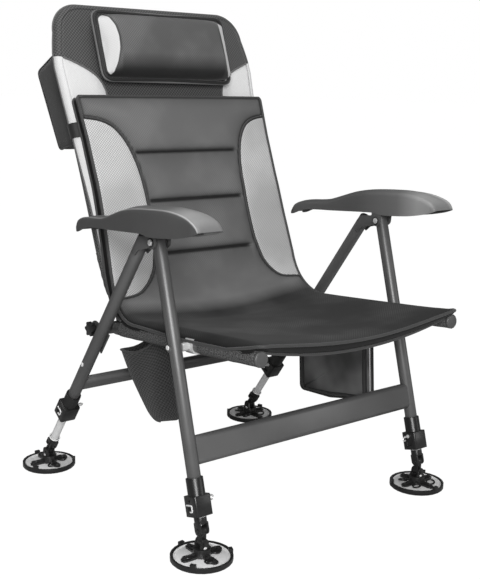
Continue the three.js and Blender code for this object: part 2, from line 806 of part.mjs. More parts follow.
function seatPadGeometry() {
  const columns = seatColumns;
  const rows = seatRows;
  const x = (u) => (2 * u - 1) * seatHalfWidth;
  const y = (v) => -padTo + v * (padTo - padFrom);
  const full = (u, v) => padEdge + (padCrown - padEdge) * crown(u, v);
  const under = (u, v) => new THREE.Vector3(x(u), y(v), slingHeight(x(u)) + padLift);
  const top = (u, v) => under(u, v).add(new THREE.Vector3(0, 0, full(u, v)));
  const round = capRadius + padLift;
  const tubes = sides.map(([, side]) =>
    extrudeForward(circle(round), padFrom - overrun, padTo + overrun, tubeSides)
      .translate(side * seatHalfWidth, 0, 0),
  );
  const half = saddleLength / 2 + overrun;
  const saddles = sides.map(([, side]) =>
    extrudeForward(circle(saddleRadius + padLift), crossing.onSeat - half, crossing.onSeat + half, tubeSides)
      .translate(side * seatHalfWidth, 0, 0),
  );
  return cut(quilt(columns, rows, top, under), ...tubes, ...saddles);
}

// Back frame: one bent tube with a flat tongue at each hinge
// Along the back as shares of its length, and half width as shares of the way from foot to shoulder
const uprightShares = [
  [0.061, 0],
  [0.129, 0.14],
  [0.235, 0.4],
  [0.342, 0.72],
  [0.448, 0.92],
  [0.568, 1],
];

function uprightAt(height) {
  const stations = uprightShares.map(([along, out]) => [
    along * backLength,
    backFootHalfWidth + out * (backHalfWidth - backFootHalfWidth),
  ]);
  const next = stations.findIndex(([along]) => along > height);
  if (next === 0) return backFootHalfWidth;
  if (next < 0) return backHalfWidth;
  const [from, to] = [stations[next - 1], stations[next]];
  return THREE.MathUtils.mapLinear(height, from[0], to[0], from[1], to[1]);
}

// Heights from one end of a stretch of the upright to the other, with the bends between them
function uprightHeights(from, to) {
  const bends = uprightShares.map(([along]) => along * backLength);
  return [from, ...bends.filter((height) => height > from + overrun && height < to - overrun), to];
}

function uprightSleeve(radius, from, to, side) {
  const heights = uprightHeights(from, to);
  const points = heights.map((height) => new THREE.Vector3(side * uprightAt(height), 0, height));
  return sweep(circle(radius), points, tubeSides);
}

function backFrameGeometry() {
  const points = [];
  const corner = (cx, from) => {
    for (let i = 0; i <= cornerSteps; i++) {
      const angle = from - (i / cornerSteps) * quarterTurn;
      points.push(
        new THREE.Vector3(
          cx + backCornerRadius * Math.cos(angle),
          0,
          backLength - backCornerRadius + backCornerRadius * Math.sin(angle),
        ),
      );
    }
  };
  const rises = uprightHeights(hingeClear, backLength * uprightShares[uprightShares.length - 1][0]);
  for (const height of rises) points.push(new THREE.Vector3(-uprightAt(height), 0, height));
  corner(-backHalfWidth + backCornerRadius, halfTurn);
  corner(backHalfWidth - backCornerRadius, quarterTurn);
  for (const height of rises.toReversed()) points.push(new THREE.Vector3(uprightAt(height), 0, height));
  const tube = sweep(circle(backRadius), points, tubeSides);
  const boreRadius = backRadius - backWall;
  const bore = sweep(circle(boreRadius), points, smallSides);
  const openings = sides.map(([, side]) =>
    extrude(circle(boreRadius), overrun * 2, smallSides, hingeClear - overrun)
      .translate(side * backFootHalfWidth, 0, 0),
  );
  const hollow = cut(tube, bore, ...openings);
  const shape = eyePlate(
    new THREE.Vector2(0, 0),
    hingeEye,
    new THREE.Vector2(boreRadius + backWall / 2, hingeClear + plugLength),
    new THREE.Vector2(-boreRadius - backWall / 2, hingeClear + plugLength),
  );
  const tongues = sides.map(([, side]) => {
    const middle = side * backFootHalfWidth;
    const plate = extrudeX(shape, middle - tongueHalf, middle + tongueHalf);
    const hole = rod(studRadius + run, middle - tongueHalf - overrun, middle + tongueHalf + overrun, 0, 0);
    return cut(plate, hole);
  });
  return join(hollow, ...tongues);
}

// Back cloth: the sling in front of the frame, the padded back on it, and the head pillow
const backSlingFrom = 62;
const backSleeveBelow = 70; // from the top rail down to the end of the sleeves
const backSleeveTo = backLength - backSleeveBelow;
const backPadFrom = 54;
const backPadBelow = 201; // from the top rail down to the padded back
const backPadTo = backLength - backPadBelow;
const backPadOver = 4; // how far it stands out over the axis of an upright
const backPadHalfWidth = backHalfWidth + backPadOver;
const backPadWaistShare = 0.03; // how much narrower the padded back is at half height
const backPadEdge = 24;
const backPadCrown = 33;
const backPadToeShare = 0.5; // what is left of the thickness at the foot
const backPadToe = 60; // over this length
const channelShares = [0.2116, 0.3623, 0.5232]; // sewn channels across the padded back, of its length
const channelDepth = 7;
const channelWidth = 9;
const channelHalfWidth = 135; // the channels run across the dark middle panel
const pillowBelow = 20; // from the top rail down to the pillow
const pillowHeight = 147;
const pillowTo = backLength - pillowBelow;
const pillowFrom = pillowTo - pillowHeight;
const pillowInside = 71; // from the axis of an upright in to its end
const pillowHalfWidth = backHalfWidth - pillowInside;
const pillowAhead = 42; // the pillow's middle, ahead of the frame's axis
const pillowFront = 30; // from its middle to its face
const pillowRear = 28.4; // and to its back, which lies on the sling
const pillowSeam = 4; // thickness at the seam round the pillow
const pillowDrawShare = 0.1; // how much the ends are drawn in

const backFace = backRadius + touch + clothThickness; // front of the cloth on the uprights

function backSlingGeometry() {
  const top = backLength + backRadius;
  const radius = backCornerRadius + backRadius;
  const shape = new THREE.Shape();
  const heights = uprightHeights(backSlingFrom, top - radius);
  const edge = heights.map((height) => new THREE.Vector2(uprightAt(height) + backRadius, height));
  shape.moveTo(-edge[0].x, edge[0].y);
  for (const point of edge) shape.lineTo(point.x, point.y);
  const middle = edge[edge.length - 1].x - radius;
  shape.absarc(middle, top - radius, radius, 0, quarterTurn, false);
  shape.absarc(-middle, top - radius, radius, quarterTurn, halfTurn, false);
  for (const point of edge.slice(1, -1).toReversed()) shape.lineTo(-point.x, point.y);
  shape.closePath();
  const sheet = extrude(shape, slingThickness, smallSides)
    .rotateX(quarterTurn)
    .translate(0, -backRadius - touch, 0);
  const parts = [sheet];
  const tools = [];
  for (const [, side] of sides) {
    parts.push(uprightSleeve(backFace, backSlingFrom, backSleeveTo, side));
    tools.push(uprightSleeve(backRadius + touch, backSlingFrom - overrun, backSleeveTo + overrun, side));
  }
  return cut(join(...parts), ...tools);
}

function backPadGeometry() {
  const columns = backColumns;
  const rows = backRows;
  const behind = -(backRadius + touch + slingThickness + padLift);
  const waist = (v) => 1 - backPadWaistShare * (1 - (2 * v - 1) ** 2);
  const x = (u, v) => (2 * u - 1) * backPadHalfWidth * waist(v);
  const z = (v) => backPadFrom + v * (backPadTo - backPadFrom);
  const channel = (u, v) => {
    const inside = Math.abs(x(u, v)) < channelHalfWidth ? 1 : 0;
    const dips = channelShares.map((share) => Math.exp(-(((z(v) - share * backLength) / channelWidth) ** 2)));
    return inside * Math.max(...dips);
  };
  const toe = (v) => {
    const share = THREE.MathUtils.smoothstep(z(v), backPadFrom, backPadFrom + backPadToe);
    return backPadToeShare + (1 - backPadToeShare) * share;
  };
  const back = (u, v) => new THREE.Vector3(x(u, v), behind, z(v));
  const front = (u, v) => {
    const full = (backPadEdge + (backPadCrown - backPadEdge) * crown(u, v)) * toe(v);
    return back(u, v).add(new THREE.Vector3(0, -full + channelDepth * channel(u, v), 0));
  };
  return quilt(columns, rows, front, back);
}

function pillowGeometry() {
  const columns = pillowColumns;
  const rows = pillowRows;
  const middle = (pillowFrom + pillowTo) / 2;
  const half = (pillowTo - pillowFrom) / 2;
  const seam = (u, v) => {
    const drawn = half * (1 - pillowDrawShare * Math.abs(2 * u - 1) ** 3);
    return new THREE.Vector3((2 * u - 1) * pillowHalfWidth, -pillowAhead, middle + (2 * v - 1) * drawn);
  };
  const full = (u, v) => {
    const round = Math.sqrt(1 - Math.abs(2 * v - 1) ** 2.2);
    const ends = Math.sqrt(1 - Math.abs(2 * u - 1) ** 6);
    return round * ends;
  };
  const bulge = (way, depth) => (u, v) => {
    const out = pillowSeam / 2 + (depth - pillowSeam / 2) * full(u, v);
    return seam(u, v).add(new THREE.Vector3(0, way * out, 0));
  };
  return quilt(columns, rows, bulge(-1, pillowFront), bulge(1, pillowRear));
}

// Storage bag behind the top of the back: deeper at the top
const bagBelow = 78; // from the top rail down to the bag
const bagHeight = 207;
const bagTo = backLength - bagBelow;
const bagFrom = bagTo - bagHeight;
const bagInside = 16; // from the axis of an upright in to its side
const bagHalfWidth = backHalfWidth - bagInside;
const bagDepthTop = 123; // behind the axis of the frame
const bagDepthBottom = 93;
const bagCorner = 12;

function storageBagGeometry() {
  const near = -backRadius;
  const shape = new THREE.Shape();
  shape.moveTo(near, bagFrom);
  shape.lineTo(bagDepthBottom - bagCorner, bagFrom);
  shape.quadraticCurveTo(bagDepthBottom, bagFrom, bagDepthBottom, bagFrom + bagCorner);
  shape.lineTo(bagDepthTop, bagTo - bagCorner);
  shape.quadraticCurveTo(bagDepthTop, bagTo, bagDepthTop - bagCorner, bagTo);
  shape.lineTo(near, bagTo);
  shape.closePath();
  return extrudeX(shape, -bagHalfWidth, bagHalfWidth);
}

// Bags under the seat, drawn on Y and Z as they hang, from the hinge
const pocketThickness = 34;
const pocketWall = 2;
const pocketInside = 35; // from the axis of the seat tube in to its middle
const pocketCentre = pocketInside - seatHalfWidth;
const pocketHangFrom = 98; // along the seat tube, where the hem leaves it
const pocketHangTo = 168;
const pocketDroop = 55; // rear corner of the mouth, below the hinge
const pocketRear = 4; // rear corner of the mouth, ahead of the hinge
const pocketDepth = 190;
const pocketFootRear = 109;
const pocketFootFront = 214;
const pocketFrontShare = 0.88; // how far down the front edge runs, of the depth
const zipBagFrom = 72;
const zipBagTo = 278;
const zipBagDepth = 203;
const zipBagThickness = 22;
const zipBagInside = 12; // from the axis of the seat tube in to its middle
const zipBagCentre = seatHalfWidth - zipBagInside;
const zipBagCorner = 16;

const underTube = seatRadius + touch + clothThickness + touch;

function meshPocketGeometry() {
  const mouth = new THREE.Vector2(-pocketRear, -pocketDroop);
  const hem = slingHeight(pocketCentre + pocketThickness / 2) - slingThickness - touch;
  const outline = (inset, rise) => {
    const shape = new THREE.Shape();
    shape.moveTo(mouth.x - inset, mouth.y + rise);
    shape.lineTo(-pocketHangFrom, hem + rise);
    shape.lineTo(-pocketHangTo + inset, hem + rise);
    shape.lineTo(-pocketFootFront + inset, -pocketDepth * pocketFrontShare);
    shape.quadraticCurveTo(
      -pocketFootFront + inset * 2,
      -pocketDepth + inset,
      -(pocketFootFront + pocketFootRear) / 2,
      -pocketDepth + inset,
    );
    shape.lineTo(-pocketFootRear - inset, -pocketDepth + inset);
    shape.closePath();
    return shape;
  };
  const from = pocketCentre - pocketThickness / 2;
  const to = pocketCentre + pocketThickness / 2;
  const shell = extrudeX(outline(0, 0), from, to);
  const inside = extrudeX(outline(pocketWall, overrun), from + pocketWall, to - pocketWall);
  return cut(shell, inside);
}

function zipBagGeometry() {
  const half = zipBagThickness / 2;
  const length = zipBagTo - zipBagFrom;
  const shape = roundedBar(length, zipBagDepth, zipBagCorner);
  return extrudeX(shape, zipBagCentre - half, zipBagCentre + half)
    .translate(0, -(zipBagFrom + zipBagTo) / 2, -underTube - zipBagDepth / 2);
}

// Armrest: a hollow moulding, open below, crowned over the front and waisted behind the pivot
const armFront = 156; // ahead of the pivot
const armLength = 454;
const armBase = -16; // lowest edge, from the pivot
const armRise = 92;
const armWidth = 57;
const armWall = 2.6;
const armEdgeRadius = 9;
const armLugFootShare = 1.3; // half the foot of a pivot lug, of its eye
const armPivotSteps = 4; // sections from the front of the list below to the one above the pivot
// Along, top, bottom, inner side and outer side, as shares of length, rise and width
const armSectionShares = [
  [0, 0.88, 0.64, 0.1, 0.9],
  [0.034, 0.957, 0.533, 0.02, 0.97],
  [0.11, 1, 0.424, 0, 1],
  [0.211, 1, 0.359, 0, 1],
  [0.317, 0.935, 0.337, 0, 1],
  [0.465, 0.772, 0.315, 0, 0.94],
  [0.582, 0.587, 0.283, 0, 0.85],
  [0.663, 0.495, 0.25, 0, 0.79],
  [0.753, 0.467, 0.207, -0.04, 0.73],
  [0.876, 0.402, 0.12, -0.09, 0.7],
  [0.955, 0.293, 0.033, -0.12, 0.67],
  [1, 0.163, 0, -0.08, 0.62],
];
const armInnerSide = -lugInner - armLug; // from the leg's axis to the inner face of the moulding

function armSection([along, top, bottom, inner, outer], wall, open) {
  const y = -armFront + along * armLength;
  const left = armInnerSide + inner * armWidth + wall;
  const right = armInnerSide + outer * armWidth - wall;
  const high = armBase + top * armRise - wall;
  const low = armBase + bottom * armRise - open;
  const radius = Math.min(armEdgeRadius, (high - low) / 2);
  const points = [];
  const place = (x, z) => points.push(new THREE.Vector3(x, y, z));
  place(left, low);
  place(right, low);
  for (let i = 0; i <= armCornerSteps; i++) {
    const angle = (i / armCornerSteps) * quarterTurn;
    place(right - radius + radius * Math.cos(angle), high - radius + radius * Math.sin(angle));
  }
  for (let i = 0; i <= armCornerSteps; i++) {
    const angle = quarterTurn + (i / armCornerSteps) * quarterTurn;
    place(left + radius + radius * Math.cos(angle), high - radius + radius * Math.sin(angle));
  }
  return points;
}

function armrestGeometry(side) {
  const outside = loft(armSectionShares.map((row) => armSection(row, 0, 0)).reverse());
  const inside = loft(
    armSectionShares
      .map((row, i) => {
        const section = armSection(row, armWall, armWall * 2);
        const shift = i === 0 ? armWall : i === armSectionShares.length - 1 ? -armWall : 0;
        return section.map((point) => point.add(new THREE.Vector3(0, shift, 0)));
      })
      .reverse(),
  );
  const shell = cut(outside, inside);
  const roof = armBase + armSectionShares[armPivotSteps][1] * armRise - armWall;
  const skirt = armBase + armSectionShares[armPivotSteps][2] * armRise + armWall;
  const eye = new THREE.Vector2(0, 0);
  const half = forkEyeRadius * armLugFootShare;
  const plateTo = (height) =>
    eyePlate(eye, forkEyeRadius, new THREE.Vector2(half, height), new THREE.Vector2(-half, height));
  const innerLug = extrudeX(plateTo(skirt), -lugInner - armLug, -lugInner);
  const outerLug = extrudeX(plateTo(roof), lugInner, lugInner + armLug);
  const bore = rod(pivotBoltRadius + run, -lugInner - armLug - overrun, lugInner + armLug + overrun, 0, 0);
  const room = new THREE.BoxGeometry(armWidth * 4, armWidth, roof * 2).translate(0, 0, skirt - roof);
  const lugs = solid(join(innerLug, outerLug)).intersect(solid(outside).add(solid(room)));
  const geometry = cut(join(shell, geometryOf(lugs)), bore).translate(legHalfWidth, 0, 0);
  return (side > 0 ? geometry : mirrored(geometry)).translate(0, armPivot.x, armPivot.y);
}

// Assembly
add(seatFrame, "seat_sling", seatSlingGeometry(), blackFabric);
add(seatFrame, "seat_pad", seatPadGeometry(), blackFabric);
add(seatFrame, "mesh_pocket", meshPocketGeometry(), blackFabric);
add(seatFrame, "zip_bag", zipBagGeometry(), blackFabric);
add(backFrame, "back_frame", backFrameGeometry(), powderCoat);
add(backFrame, "back_sling", backSlingGeometry(), paleMesh);
add(backFrame, "back_pad", backPadGeometry(), blackFabric);
add(backFrame, "head_pillow", pillowGeometry(), blackFabric);
add(backFrame, "storage_bag", storageBagGeometry(), blackFabric);
add(frontFrame, "front_crossbar", crossbarGeometry(frontBarHeight, frontBarDepth, frontBarUp), powderCoat);
add(rearFrame, "rear_crossbar", crossbarGeometry(rearBarHeight, rearBarDepth, rearBarUp), powderCoat);

for (const [hand, side] of sides) {
  add(seatFrame, `seat_tube_${hand}`, seatTubeGeometry(side), powderCoat);
  add(seatFrame, `seat_cap_${hand}`, seatCapGeometry(side), blackPlastic);
  add(seatFrame, `hinge_bracket_${hand}`, hingeBracketGeometry(side), powderCoat);
  add(seatFrame, `pivot_saddle_${hand}`, saddleGeometry(side), boltSteel);
  add(frontFrame, `front_leg_${hand}`, frontLegGeometry(side), powderCoat);
  add(rearFrame, `rear_leg_${hand}`, rearLegGeometry(side), powderCoat);
  add(rearFrame, `arm_fork_${hand}`, armForkGeometry(side), powderCoat);
  add(rearFrame, `pivot_bolt_${hand}`, pivotBoltGeometry(side), boltSteel);
  add(rearFrame, `rear_hinge_plate_${hand}`, rearHingePlateGeometry(side), powderCoat);
  add(upright, `star_knob_${hand}`, starKnobGeometry(side), blackPlastic);
  add(upright, `armrest_${hand}`, armrestGeometry(side), armPlastic);
  const ends = [
    ["front", frontFrame, frontLockUp, frontFootAt, 0, footTurns.front],
    ["rear", rearFrame, rearLockUp, rearFootAt, quarterTurn, footTurns.rear],
  ];
  for (const [end, frame, lockUp, depth, turn, discTurns] of ends) {
    const x = side * legHalfWidth;
    const discTurn = discTurns[side < 0 ? 0 : 1];
    add(frame, `leg_lock_${end}_${hand}`, lockGeometry(), blackPlastic).position.set(x, 0, lockUp);
    add(frame, `lock_pin_${end}_${hand}`, pinGeometry(side), boltSteel).position.set(x, 0, lockUp);
    const tube = innerTubeGeometry().rotateZ(turn);
    add(frame, `inner_tube_${end}_${hand}`, tube, brightTube).position.set(x, 0, 0);
    const knuckle = knuckleGeometry().rotateZ(turn);
    const [carrier, y, z] = end === "front" ? [upright, ...frontAnkle] : [rearFrame, 0, 0];
    add(carrier, `knuckle_${end}_${hand}`, knuckle, blackPlastic).position.set(x, y, z);
    const spider = spiderGeometry().rotateZ(turn);
    add(upright, `foot_spider_${end}_${hand}`, spider, blackPlastic).position.set(x, depth, 0);
    const disc = mudFootGeometry().rotateZ(discTurn);
    add(upright, `mud_foot_${end}_${hand}`, disc, blackPlastic).position.set(x, depth, 0);
  }
}

// The frame's origin is on the floor, under the middle of the whole chair.
chair.updateMatrixWorld(true);
const extent = new THREE.Box3().setFromObject(chair);
chair.position.y = -(extent.min.y + extent.max.y) / 2;

export default chair;
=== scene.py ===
# %% [markdown]
# # A folding carp fishing chair
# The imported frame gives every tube, hinge and foot its place. This file dresses them: the metal gets its powder
# coat, the soft parts are sewn anew from their measures, and a camera looks at the chair as the photograph does.
# Sizes are written in millimetres and turned to metres at the last step, by the value mm.

# %% The frame
import json
from math import cos, pi, radians, sin, sqrt

import bpy
import numpy as np
from mathutils import Matrix, Vector

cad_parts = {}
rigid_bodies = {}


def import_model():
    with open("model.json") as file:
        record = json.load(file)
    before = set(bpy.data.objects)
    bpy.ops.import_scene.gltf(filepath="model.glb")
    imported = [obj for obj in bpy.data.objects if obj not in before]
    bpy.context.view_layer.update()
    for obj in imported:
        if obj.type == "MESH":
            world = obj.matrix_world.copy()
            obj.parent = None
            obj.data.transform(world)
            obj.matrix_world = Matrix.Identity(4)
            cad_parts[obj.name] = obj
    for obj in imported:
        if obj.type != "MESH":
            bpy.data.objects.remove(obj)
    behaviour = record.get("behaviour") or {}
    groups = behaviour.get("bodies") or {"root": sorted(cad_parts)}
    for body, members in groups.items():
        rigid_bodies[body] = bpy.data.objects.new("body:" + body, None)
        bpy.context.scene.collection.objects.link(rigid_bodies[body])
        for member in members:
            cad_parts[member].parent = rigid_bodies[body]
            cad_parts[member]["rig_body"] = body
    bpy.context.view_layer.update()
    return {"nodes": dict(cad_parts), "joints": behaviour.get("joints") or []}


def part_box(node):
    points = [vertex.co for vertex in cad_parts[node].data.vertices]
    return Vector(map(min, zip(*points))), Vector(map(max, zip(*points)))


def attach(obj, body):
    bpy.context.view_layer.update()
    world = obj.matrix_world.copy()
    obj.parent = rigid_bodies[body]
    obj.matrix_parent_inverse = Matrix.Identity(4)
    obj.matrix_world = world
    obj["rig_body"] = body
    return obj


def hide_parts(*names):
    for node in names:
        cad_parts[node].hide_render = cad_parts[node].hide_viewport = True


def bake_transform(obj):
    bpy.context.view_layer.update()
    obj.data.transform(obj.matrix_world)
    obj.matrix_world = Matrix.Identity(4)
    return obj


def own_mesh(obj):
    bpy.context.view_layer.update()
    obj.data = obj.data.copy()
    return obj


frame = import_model()
nodes = frame["nodes"]
joints = {joint["name"]: joint for joint in frame["joints"]}
mm = 0.001
hands = {"left": -1, "right": 1}

# %% [markdown]
# The camera stands where the photographer stood: ahead of the chair and to one side of it, a little above the
# armrests. Its place, its direction and its lens were worked out from the feet, the crossbars and the back frame,
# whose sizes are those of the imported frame. The lens is long, so the legs hardly lean together.

# %% Camera
camera_place = Vector((-1337.7, -1668.6, 864.6)) * mm
camera_toward = Vector((0.6194, 0.7588, -0.2017)).normalized()
camera_up = Vector((0.1103, 0.1704, 0.9793)).normalized()

camera_data = bpy.data.cameras.new("camera")
camera_data.lens = 62.66
camera = bpy.data.objects.new("camera", camera_data)
bpy.context.scene.collection.objects.link(camera)
turned = Matrix((camera_toward.cross(camera_up), camera_up, -camera_toward)).transposed().to_4x4()
camera.matrix_world = Matrix.Translation(camera_place) @ turned
bpy.context.scene.camera = camera

# %% [markdown]
# A finish is built from a Principled shader and some sums. A small class wraps a socket, so that a sum of patterns
# is written as it would be on paper. Everything else, such as a noise or a mix, comes from one method that takes
# the kind of node, its settings and its inputs. A tone is such a sum, or a grey from 0 to 255.

# %% Finishes as sums
class Term:
    """A socket that can stand in a sum."""

    def __init__(self, paint, socket):
        self.paint, self.socket = paint, socket

    def made(self, operation, *values):
        return self.paint.node("Math", {"operation": operation}, dict(enumerate(values)))

    def __add__(self, other): return self.made("ADD", self, other)
    def __radd__(self, other): return self.made("ADD", other, self)
    def __mul__(self, other): return self.made("MULTIPLY", self, other)
    def __rmul__(self, other): return self.made("MULTIPLY", other, self)
    def sine(self): return self.made("SINE", self)


class Paint:
    """The nodes of a material or of the sky."""

    def __init__(self, tree):
        self.tree = tree

    def put(self, node, inputs):
        for name, value in inputs.items():
            if isinstance(value, Term):
                self.tree.links.new(value.socket, node.inputs[name])
            else:
                node.inputs[name].default_value = value

    def node(self, kind, settings=None, inputs=None, output=0):
        node = self.tree.nodes.new("ShaderNode" + kind)
        for name, value in (settings or {}).items():
            setattr(node, name, value)
        self.put(node, inputs or {})
        return Term(self, node.outputs[output])


def grey(level):
    """A grey as it is seen on a screen, from 0 to 255, turned to the linear value that a shader takes."""
    seen = level / 255
    linear = seen / 12.92 if seen <= 0.04045 else ((seen + 0.055) / 1.055) ** 2.4
    return (linear, linear, linear, 1.0)


class Finish(Paint):
    """A material with one Principled shader."""

    def __init__(self, name, level, roughness, **plain):
        self.material = bpy.data.materials.new(name)
        self.material.use_nodes = True
        super().__init__(self.material.node_tree)
        self.shade(Base_Color=grey(level), Roughness=roughness, **plain)

    def shade(self, **inputs):
        shader = self.tree.nodes["Principled BSDF"]
        self.put(shader, {name.replace("_", " "): value for name, value in inputs.items()})

    def noise(self, scale, detail=2.0, on_cloth=False):
        vector = self.node("UVMap") if on_cloth else self.node("TexCoord", output="Object")
        return self.node("TexNoise", inputs={"Vector": vector, "Scale": scale, "Detail": detail}, output="Fac")

    def grown(self, name):
        """A value that the piece carries from point to point."""
        return self.node("Attribute", {"attribute_name": name}, output="Fac")

    def ramp(self, value, low, high, to_low=0.0):
        return self.node("MapRange", {"interpolation_type": "SMOOTHSTEP"},
                         {"Value": value, "From Min": low, "From Max": high, "To Min": to_low, "To Max": 1.0})

    def blend(self, share, first, second):
        first, second = (tone if isinstance(tone, Term) else grey(tone) for tone in (first, second))
        return self.node("Mix", {"data_type": "RGBA"}, {0: share, 6: first, 7: second}, output=2)

    def relief(self, height, depth):
        self.shade(Normal=self.node("Bump", inputs={"Height": height, "Distance": depth, "Strength": 1.0}))


# %% [markdown]
# The floor and the sky are white to the camera, as in a catalogue picture, and a soft shadow stays under the feet.
# Light comes from three large soft lamps: a strong one at the left, a weak one at the right and one overhead. So
# each round tube carries one broad bright band.

# %% Floor, sky and lamps
floor_half = 40.0
floor_white = 0.5
floor_glow, floor_glow_share = 1.15, 0.86
sky_level, shine_level = 0.2, 0.16
lamp_aim = Vector((0, 0, 0.45))
lamps = [
    ("key lamp", (-1.9, -2.6, 1.6), 1.3, 92.0),
    ("fill lamp", (2.2, -2.8, 0.9), 1.0, 10.0),
    ("top lamp", (-0.4, -0.4, 3.0), 1.2, 26.0),
]

bpy.context.scene.view_settings.view_transform = "Standard"
world = bpy.data.worlds.new("sky")
bpy.context.scene.world = world
world.use_nodes = True
sky = Paint(world.node_tree)
light = sky_level
for kind, level in (("Glossy", shine_level), ("Transmission", 1.0), ("Camera", 1.0)):
    ray = sky.node("LightPath", output=f"Is {kind} Ray")
    light = sky.node("MapRange", inputs={"Value": ray, "To Min": light, "To Max": level})
sky.put(sky.tree.nodes["Background"], {"Strength": light, "Color": (1, 1, 1, 1)})

bpy.ops.mesh.primitive_plane_add(size=2 * floor_half)
floor = bpy.context.object
floor.name = "floor"
floor_paint = Finish("floor paint", 188, 0.5)
matt = floor_paint.node("BsdfDiffuse", inputs={"Color": (floor_white, floor_white, floor_white, 1)})
glow = floor_paint.node("Emission", inputs={"Strength": floor_glow})
seen = floor_paint.node("LightPath", output="Is Camera Ray") * floor_glow_share
mixed = floor_paint.node("MixShader", inputs={0: seen, 1: matt, 2: glow})
floor_paint.put(floor_paint.tree.nodes["Material Output"], {"Surface": mixed})
floor.data.materials.append(floor_paint.material)

for name, place, size, power in lamps:
    lamp_data = bpy.data.lights.new(name, "AREA")
    lamp_data.size, lamp_data.energy = size, power
    lamp = bpy.data.objects.new(name, lamp_data)
    bpy.context.scene.collection.objects.link(lamp)
    lamp.location = place
    lamp.rotation_euler = (lamp_aim - Vector(place)).to_track_quat("-Z", "Y").to_euler()

# %% [markdown]
# The frame is painted with a satin powder coat, which has a very fine orange-peel surface and turns a little paler
# where hands rub it. Moulded black plastic is duller and grainier. The inner tubes are drawn aluminium with a fine
# grain and faint stains, and the bolts are plated steel.

# %% Hard finishes
def powder_coat(name, level):
    finish = Finish(name, level, 0.4, Metallic=0.35, Coat_Weight=0.1, Coat_Roughness=0.3)
    wear = finish.noise(6.0, 3.0)
    finish.shade(Base_Color=finish.blend(finish.ramp(wear, 0.35, 0.75), level - 5, level + 7),
                 Roughness=0.36 + 0.1 * wear)
    finish.relief(finish.noise(900.0), 0.00006)
    return finish


def moulded(name, level, roughness, grain, painted_highlight=None, painted_highlight_level=0):
    finish = Finish(name, level, roughness)
    broad = finish.noise(14.0, 3.0)
    tone = finish.blend(broad, level - 5, level + 6)
    # a painted highlight where the attribute is high
    if painted_highlight:
        tone = finish.blend(finish.grown(painted_highlight), tone, painted_highlight_level)
    finish.shade(Base_Color=tone, Roughness=roughness - 0.06 + 0.14 * broad)
    finish.relief(finish.noise(1400.0), grain)
    return finish


def drawn_metal(name, level, roughness, metal):
    finish = Finish(name, level, roughness, Metallic=metal)
    grain = finish.noise(420.0, 4.0)
    finish.shade(Base_Color=finish.blend(finish.noise(22.0, 3.0), level - 14, level + 8),
                 Roughness=roughness - 0.08 + 0.2 * grain)
    finish.relief(grain, 0.00003)
    return finish


paint_grey = powder_coat("powder coat", 96)
black_plastic = moulded("black plastic", 30, 0.3, 0.00008)
# the ridge attribute paints a highlight on the armrests
arm_plastic = moulded("armrest plastic", 78, 0.42, 0.00005, "ridge", 196)
bright_tube = drawn_metal("drawn aluminium", 240, 0.3, 0.3)
plated_steel = drawn_metal("plated steel", 225, 0.3, 0.5)
foot_metal = drawn_metal("pressed plate", 244, 0.34, 0.15)

# %% [markdown]
# Cloth needs a pattern that follows the piece, so each sewn piece carries a map in real metres. A weave is two
# sets of slanted threads, made by multiplying two sines. The padded cover is one piece with two cloths, so an
# attribute says how far a point lies inside the pale side panel, and the seam is where that distance is zero.

# %% Cloth finishes
def threads(finish, period):
    """From 0 to 1 over a weave whose holes stand in slanted rows, on the piece's own map."""
    place = finish.node("UVMap")
    x, y = (finish.node("SeparateXYZ", inputs={"Vector": place}, output=axis) for axis in "XY")
    return (x * (2 * pi / period)).sine() * (y * (2 * pi / period)).sine() * 0.5 + 0.5


def woven(name, level, contrast, period=0.003, roughness=0.6, depth=0.0002, shift=6):
    finish = Finish(name, level, roughness, Sheen_Weight=0.15, Sheen_Roughness=0.5)
    weave, broad = threads(finish, period), finish.noise(9.0, 3.0, on_cloth=True)
    low, high = (finish.blend(broad, tone - shift, tone + shift) for tone in (level - contrast, level + contrast))
    finish.shade(Base_Color=finish.blend(weave, low, high))
    finish.relief(weave, depth)
    return finish


def two_cloths(finish, dark, pale, seam=(-0.0006, 0.0006)):
    """Dark cloth outside the pale panel and pale cloth inside it."""
    finish.shade(Base_Color=finish.blend(finish.ramp(finish.grown("panel"), *seam), dark, pale))


dark_cloth = woven("dark cloth", 62, 12, 0.0052, 0.85)
plain_cloth = woven("bag cloth", 52, 5, 0.0022, 0.75)
binding_cloth = woven("binding", 54, 8)
black_band = woven("black band", 24, 4)
grey_piping = woven("grey piping", 96, 14)
net_cloth = woven("net cloth", 36, 30, 0.0084, 0.8, 0.0008)

heather_cloth = Finish("heathered cloth", 70, 0.9)
speckle = heather_cloth.noise(420.0, on_cloth=True)
heather_cloth.shade(Base_Color=heather_cloth.blend(heather_cloth.ramp(speckle, 0.35, 0.65), 38, 104))
heather_cloth.relief(speckle, 0.0006)

vinyl = Finish("glossy vinyl", 52, 0.3, Coat_Weight=0.4, Coat_Roughness=0.2)
# the same noise makes real creases in the bump, and pale and dark patches of colour that stand in for reflected
# light
creases_and_painted_shine = vinyl.noise(9.0)
vinyl.shade(Base_Color=vinyl.blend(vinyl.ramp(creases_and_painted_shine, 0.3, 0.7), 40, 112), Roughness=0.22 + 0.2 * creases_and_painted_shine)
vinyl.relief(creases_and_painted_shine, 0.004)

# %% [markdown]
# Three pieces have two cloths. On the cover and the pillow the weave fades in and out in broad patches, and an
# attribute paints shade, down to black, into the valleys along their seams and towards their edges. On the cover the
# seat is painted darker as well, as a shaded copy of the back's cloth.

# %% Finishes of two cloths
# the black of the painted shade in the seams
shade_black = 8
cover = Finish("padded cover", 88, 0.6, Sheen_Weight=0.04, Sheen_Roughness=0.4)
weave, fade = threads(cover, 0.006), cover.ramp(cover.noise(5.0, 3.0, on_cloth=True), 0.4, 0.62)
seat_shade_and_rough = cover.grown("seat")
